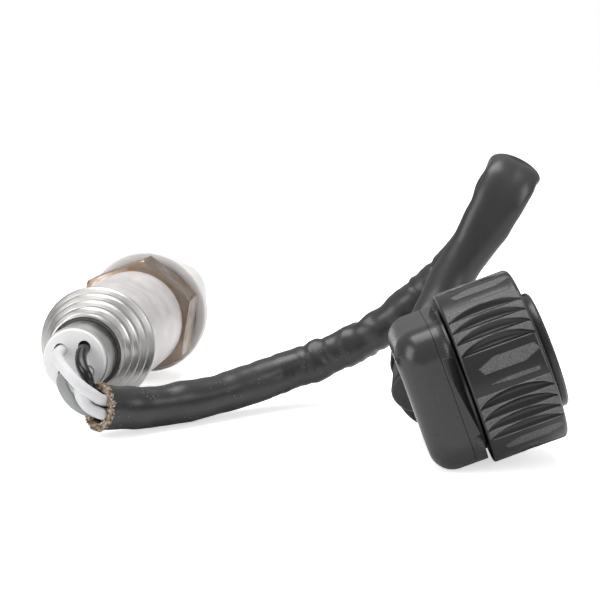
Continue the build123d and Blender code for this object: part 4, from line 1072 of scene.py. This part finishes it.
FLANGE_PLACE = (15.7, -2.9, -9.4)
FLANGE_RADIUS = 8.9
FLANGE_THICKNESS = 1.8
SPIGOT_END = (8.3, -0.9, -14.35)
SPIGOT_CAP_RADIUS = 4.55
SPIGOT_CAP_THICKNESS = 0.9
OUTLET_WAY = (0.89, 0.375, 0.256)
BOSS_RADIUS = 12.25
BOSS_THICKNESS = 0.65
PLATE_FRONT = -7.45
DISC_SIDES = 96
DISC_ROUND_PARTS = 6
DISC_CENTRE = 0.01
DISC_JOIN = 0.00003
DISC_ANGLE = 40


def disc(name, place, way, radius, thickness, edge):
    """A rounded disc of the housing's nylon whose near face lies at a place."""
    axis = (far * way[0] + rise * way[1] + mating * way[2]).normalized()
    side_way = axis.orthogonal().normalized()
    up_way = axis.cross(side_way)
    start = on_connector(*place)
    outline = [(0.0, 0.0), (0.0, radius - edge)]
    for part in range(1, DISC_ROUND_PARTS + 1):
        bend = pi / 2 * part / DISC_ROUND_PARTS
        outline.append((edge - edge * cos(bend), radius - edge + edge * sin(bend)))
    outline += [(thickness - edge, radius), (thickness, radius - edge), (thickness, 0.0)]
    made_vertices = []
    for side in range(DISC_SIDES):
        turn = tau * side / DISC_SIDES
        reach = side_way * cos(turn) + up_way * sin(turn)
        for ahead, outward in outline:
            made_vertices.append(start + (axis * ahead + reach * max(outward, DISC_CENTRE)) * MM)
    made_faces = turned_faces(DISC_SIDES, len(outline), closed=False)
    made = mesh_piece(name, made_vertices, made_faces, housing_black)
    mended(made.data, DISC_JOIN)
    made.data.set_sharp_from_angle(angle=radians(DISC_ANGLE))
    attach(made, "sensor")
    return made


spigot_cap_place = tuple(p - w * SPIGOT_CAP_THICKNESS for p, w in zip(SPIGOT_END, OUTLET_WAY))
connector_pieces += [
    disc("clamp_flange", FLANGE_PLACE, (1, 0, 0), FLANGE_RADIUS, FLANGE_THICKNESS, 0.6),
    disc("spigot_end", spigot_cap_place, OUTLET_WAY, SPIGOT_CAP_RADIUS, SPIGOT_CAP_THICKNESS, 0.5),
    disc("ring_boss", (0, 0, PLATE_FRONT), (0, 0, 1), BOSS_RADIUS, BOSS_THICKNESS, 0.15),
]

# ---------------------------------------------------------------- seals, clip and contacts
# Red-brown silicone seals, the spring clip that holds the ring, and four tarnished brass
# sockets.

seal_red, tree, bsdf = finish_of("silicone_rubber", (0.34, 0.09, 0.05), 0.5)
bloom = grain(tree, 500, 3.0)
colour_by(tree, bsdf, tones(tree, bloom, (0.3, (0.36, 0.10, 0.06)), (0.7, (0.28, 0.07, 0.04))))
bump_chain(tree, bsdf, (bloom, 0.1, 0.05))
brass, tree, bsdf = finish_of("contact_brass", (0.72, 0.56, 0.28), 0.28, 1.0)
tarnish = grain(tree, 900, 3.0)
colour_by(tree, bsdf, tones(tree, tarnish, (0.4, (0.74, 0.58, 0.30)), (0.7, (0.52, 0.38, 0.18))))
connector_pieces += [
    dressed("mating_seal", "hub_seal", seal_red),
    dressed("wire_seal", "lead_seal", seal_red),
    dressed("ring_clip", "retaining_clip", drawn_steel),
    dressed("contact_sockets", "sockets", brass),
]
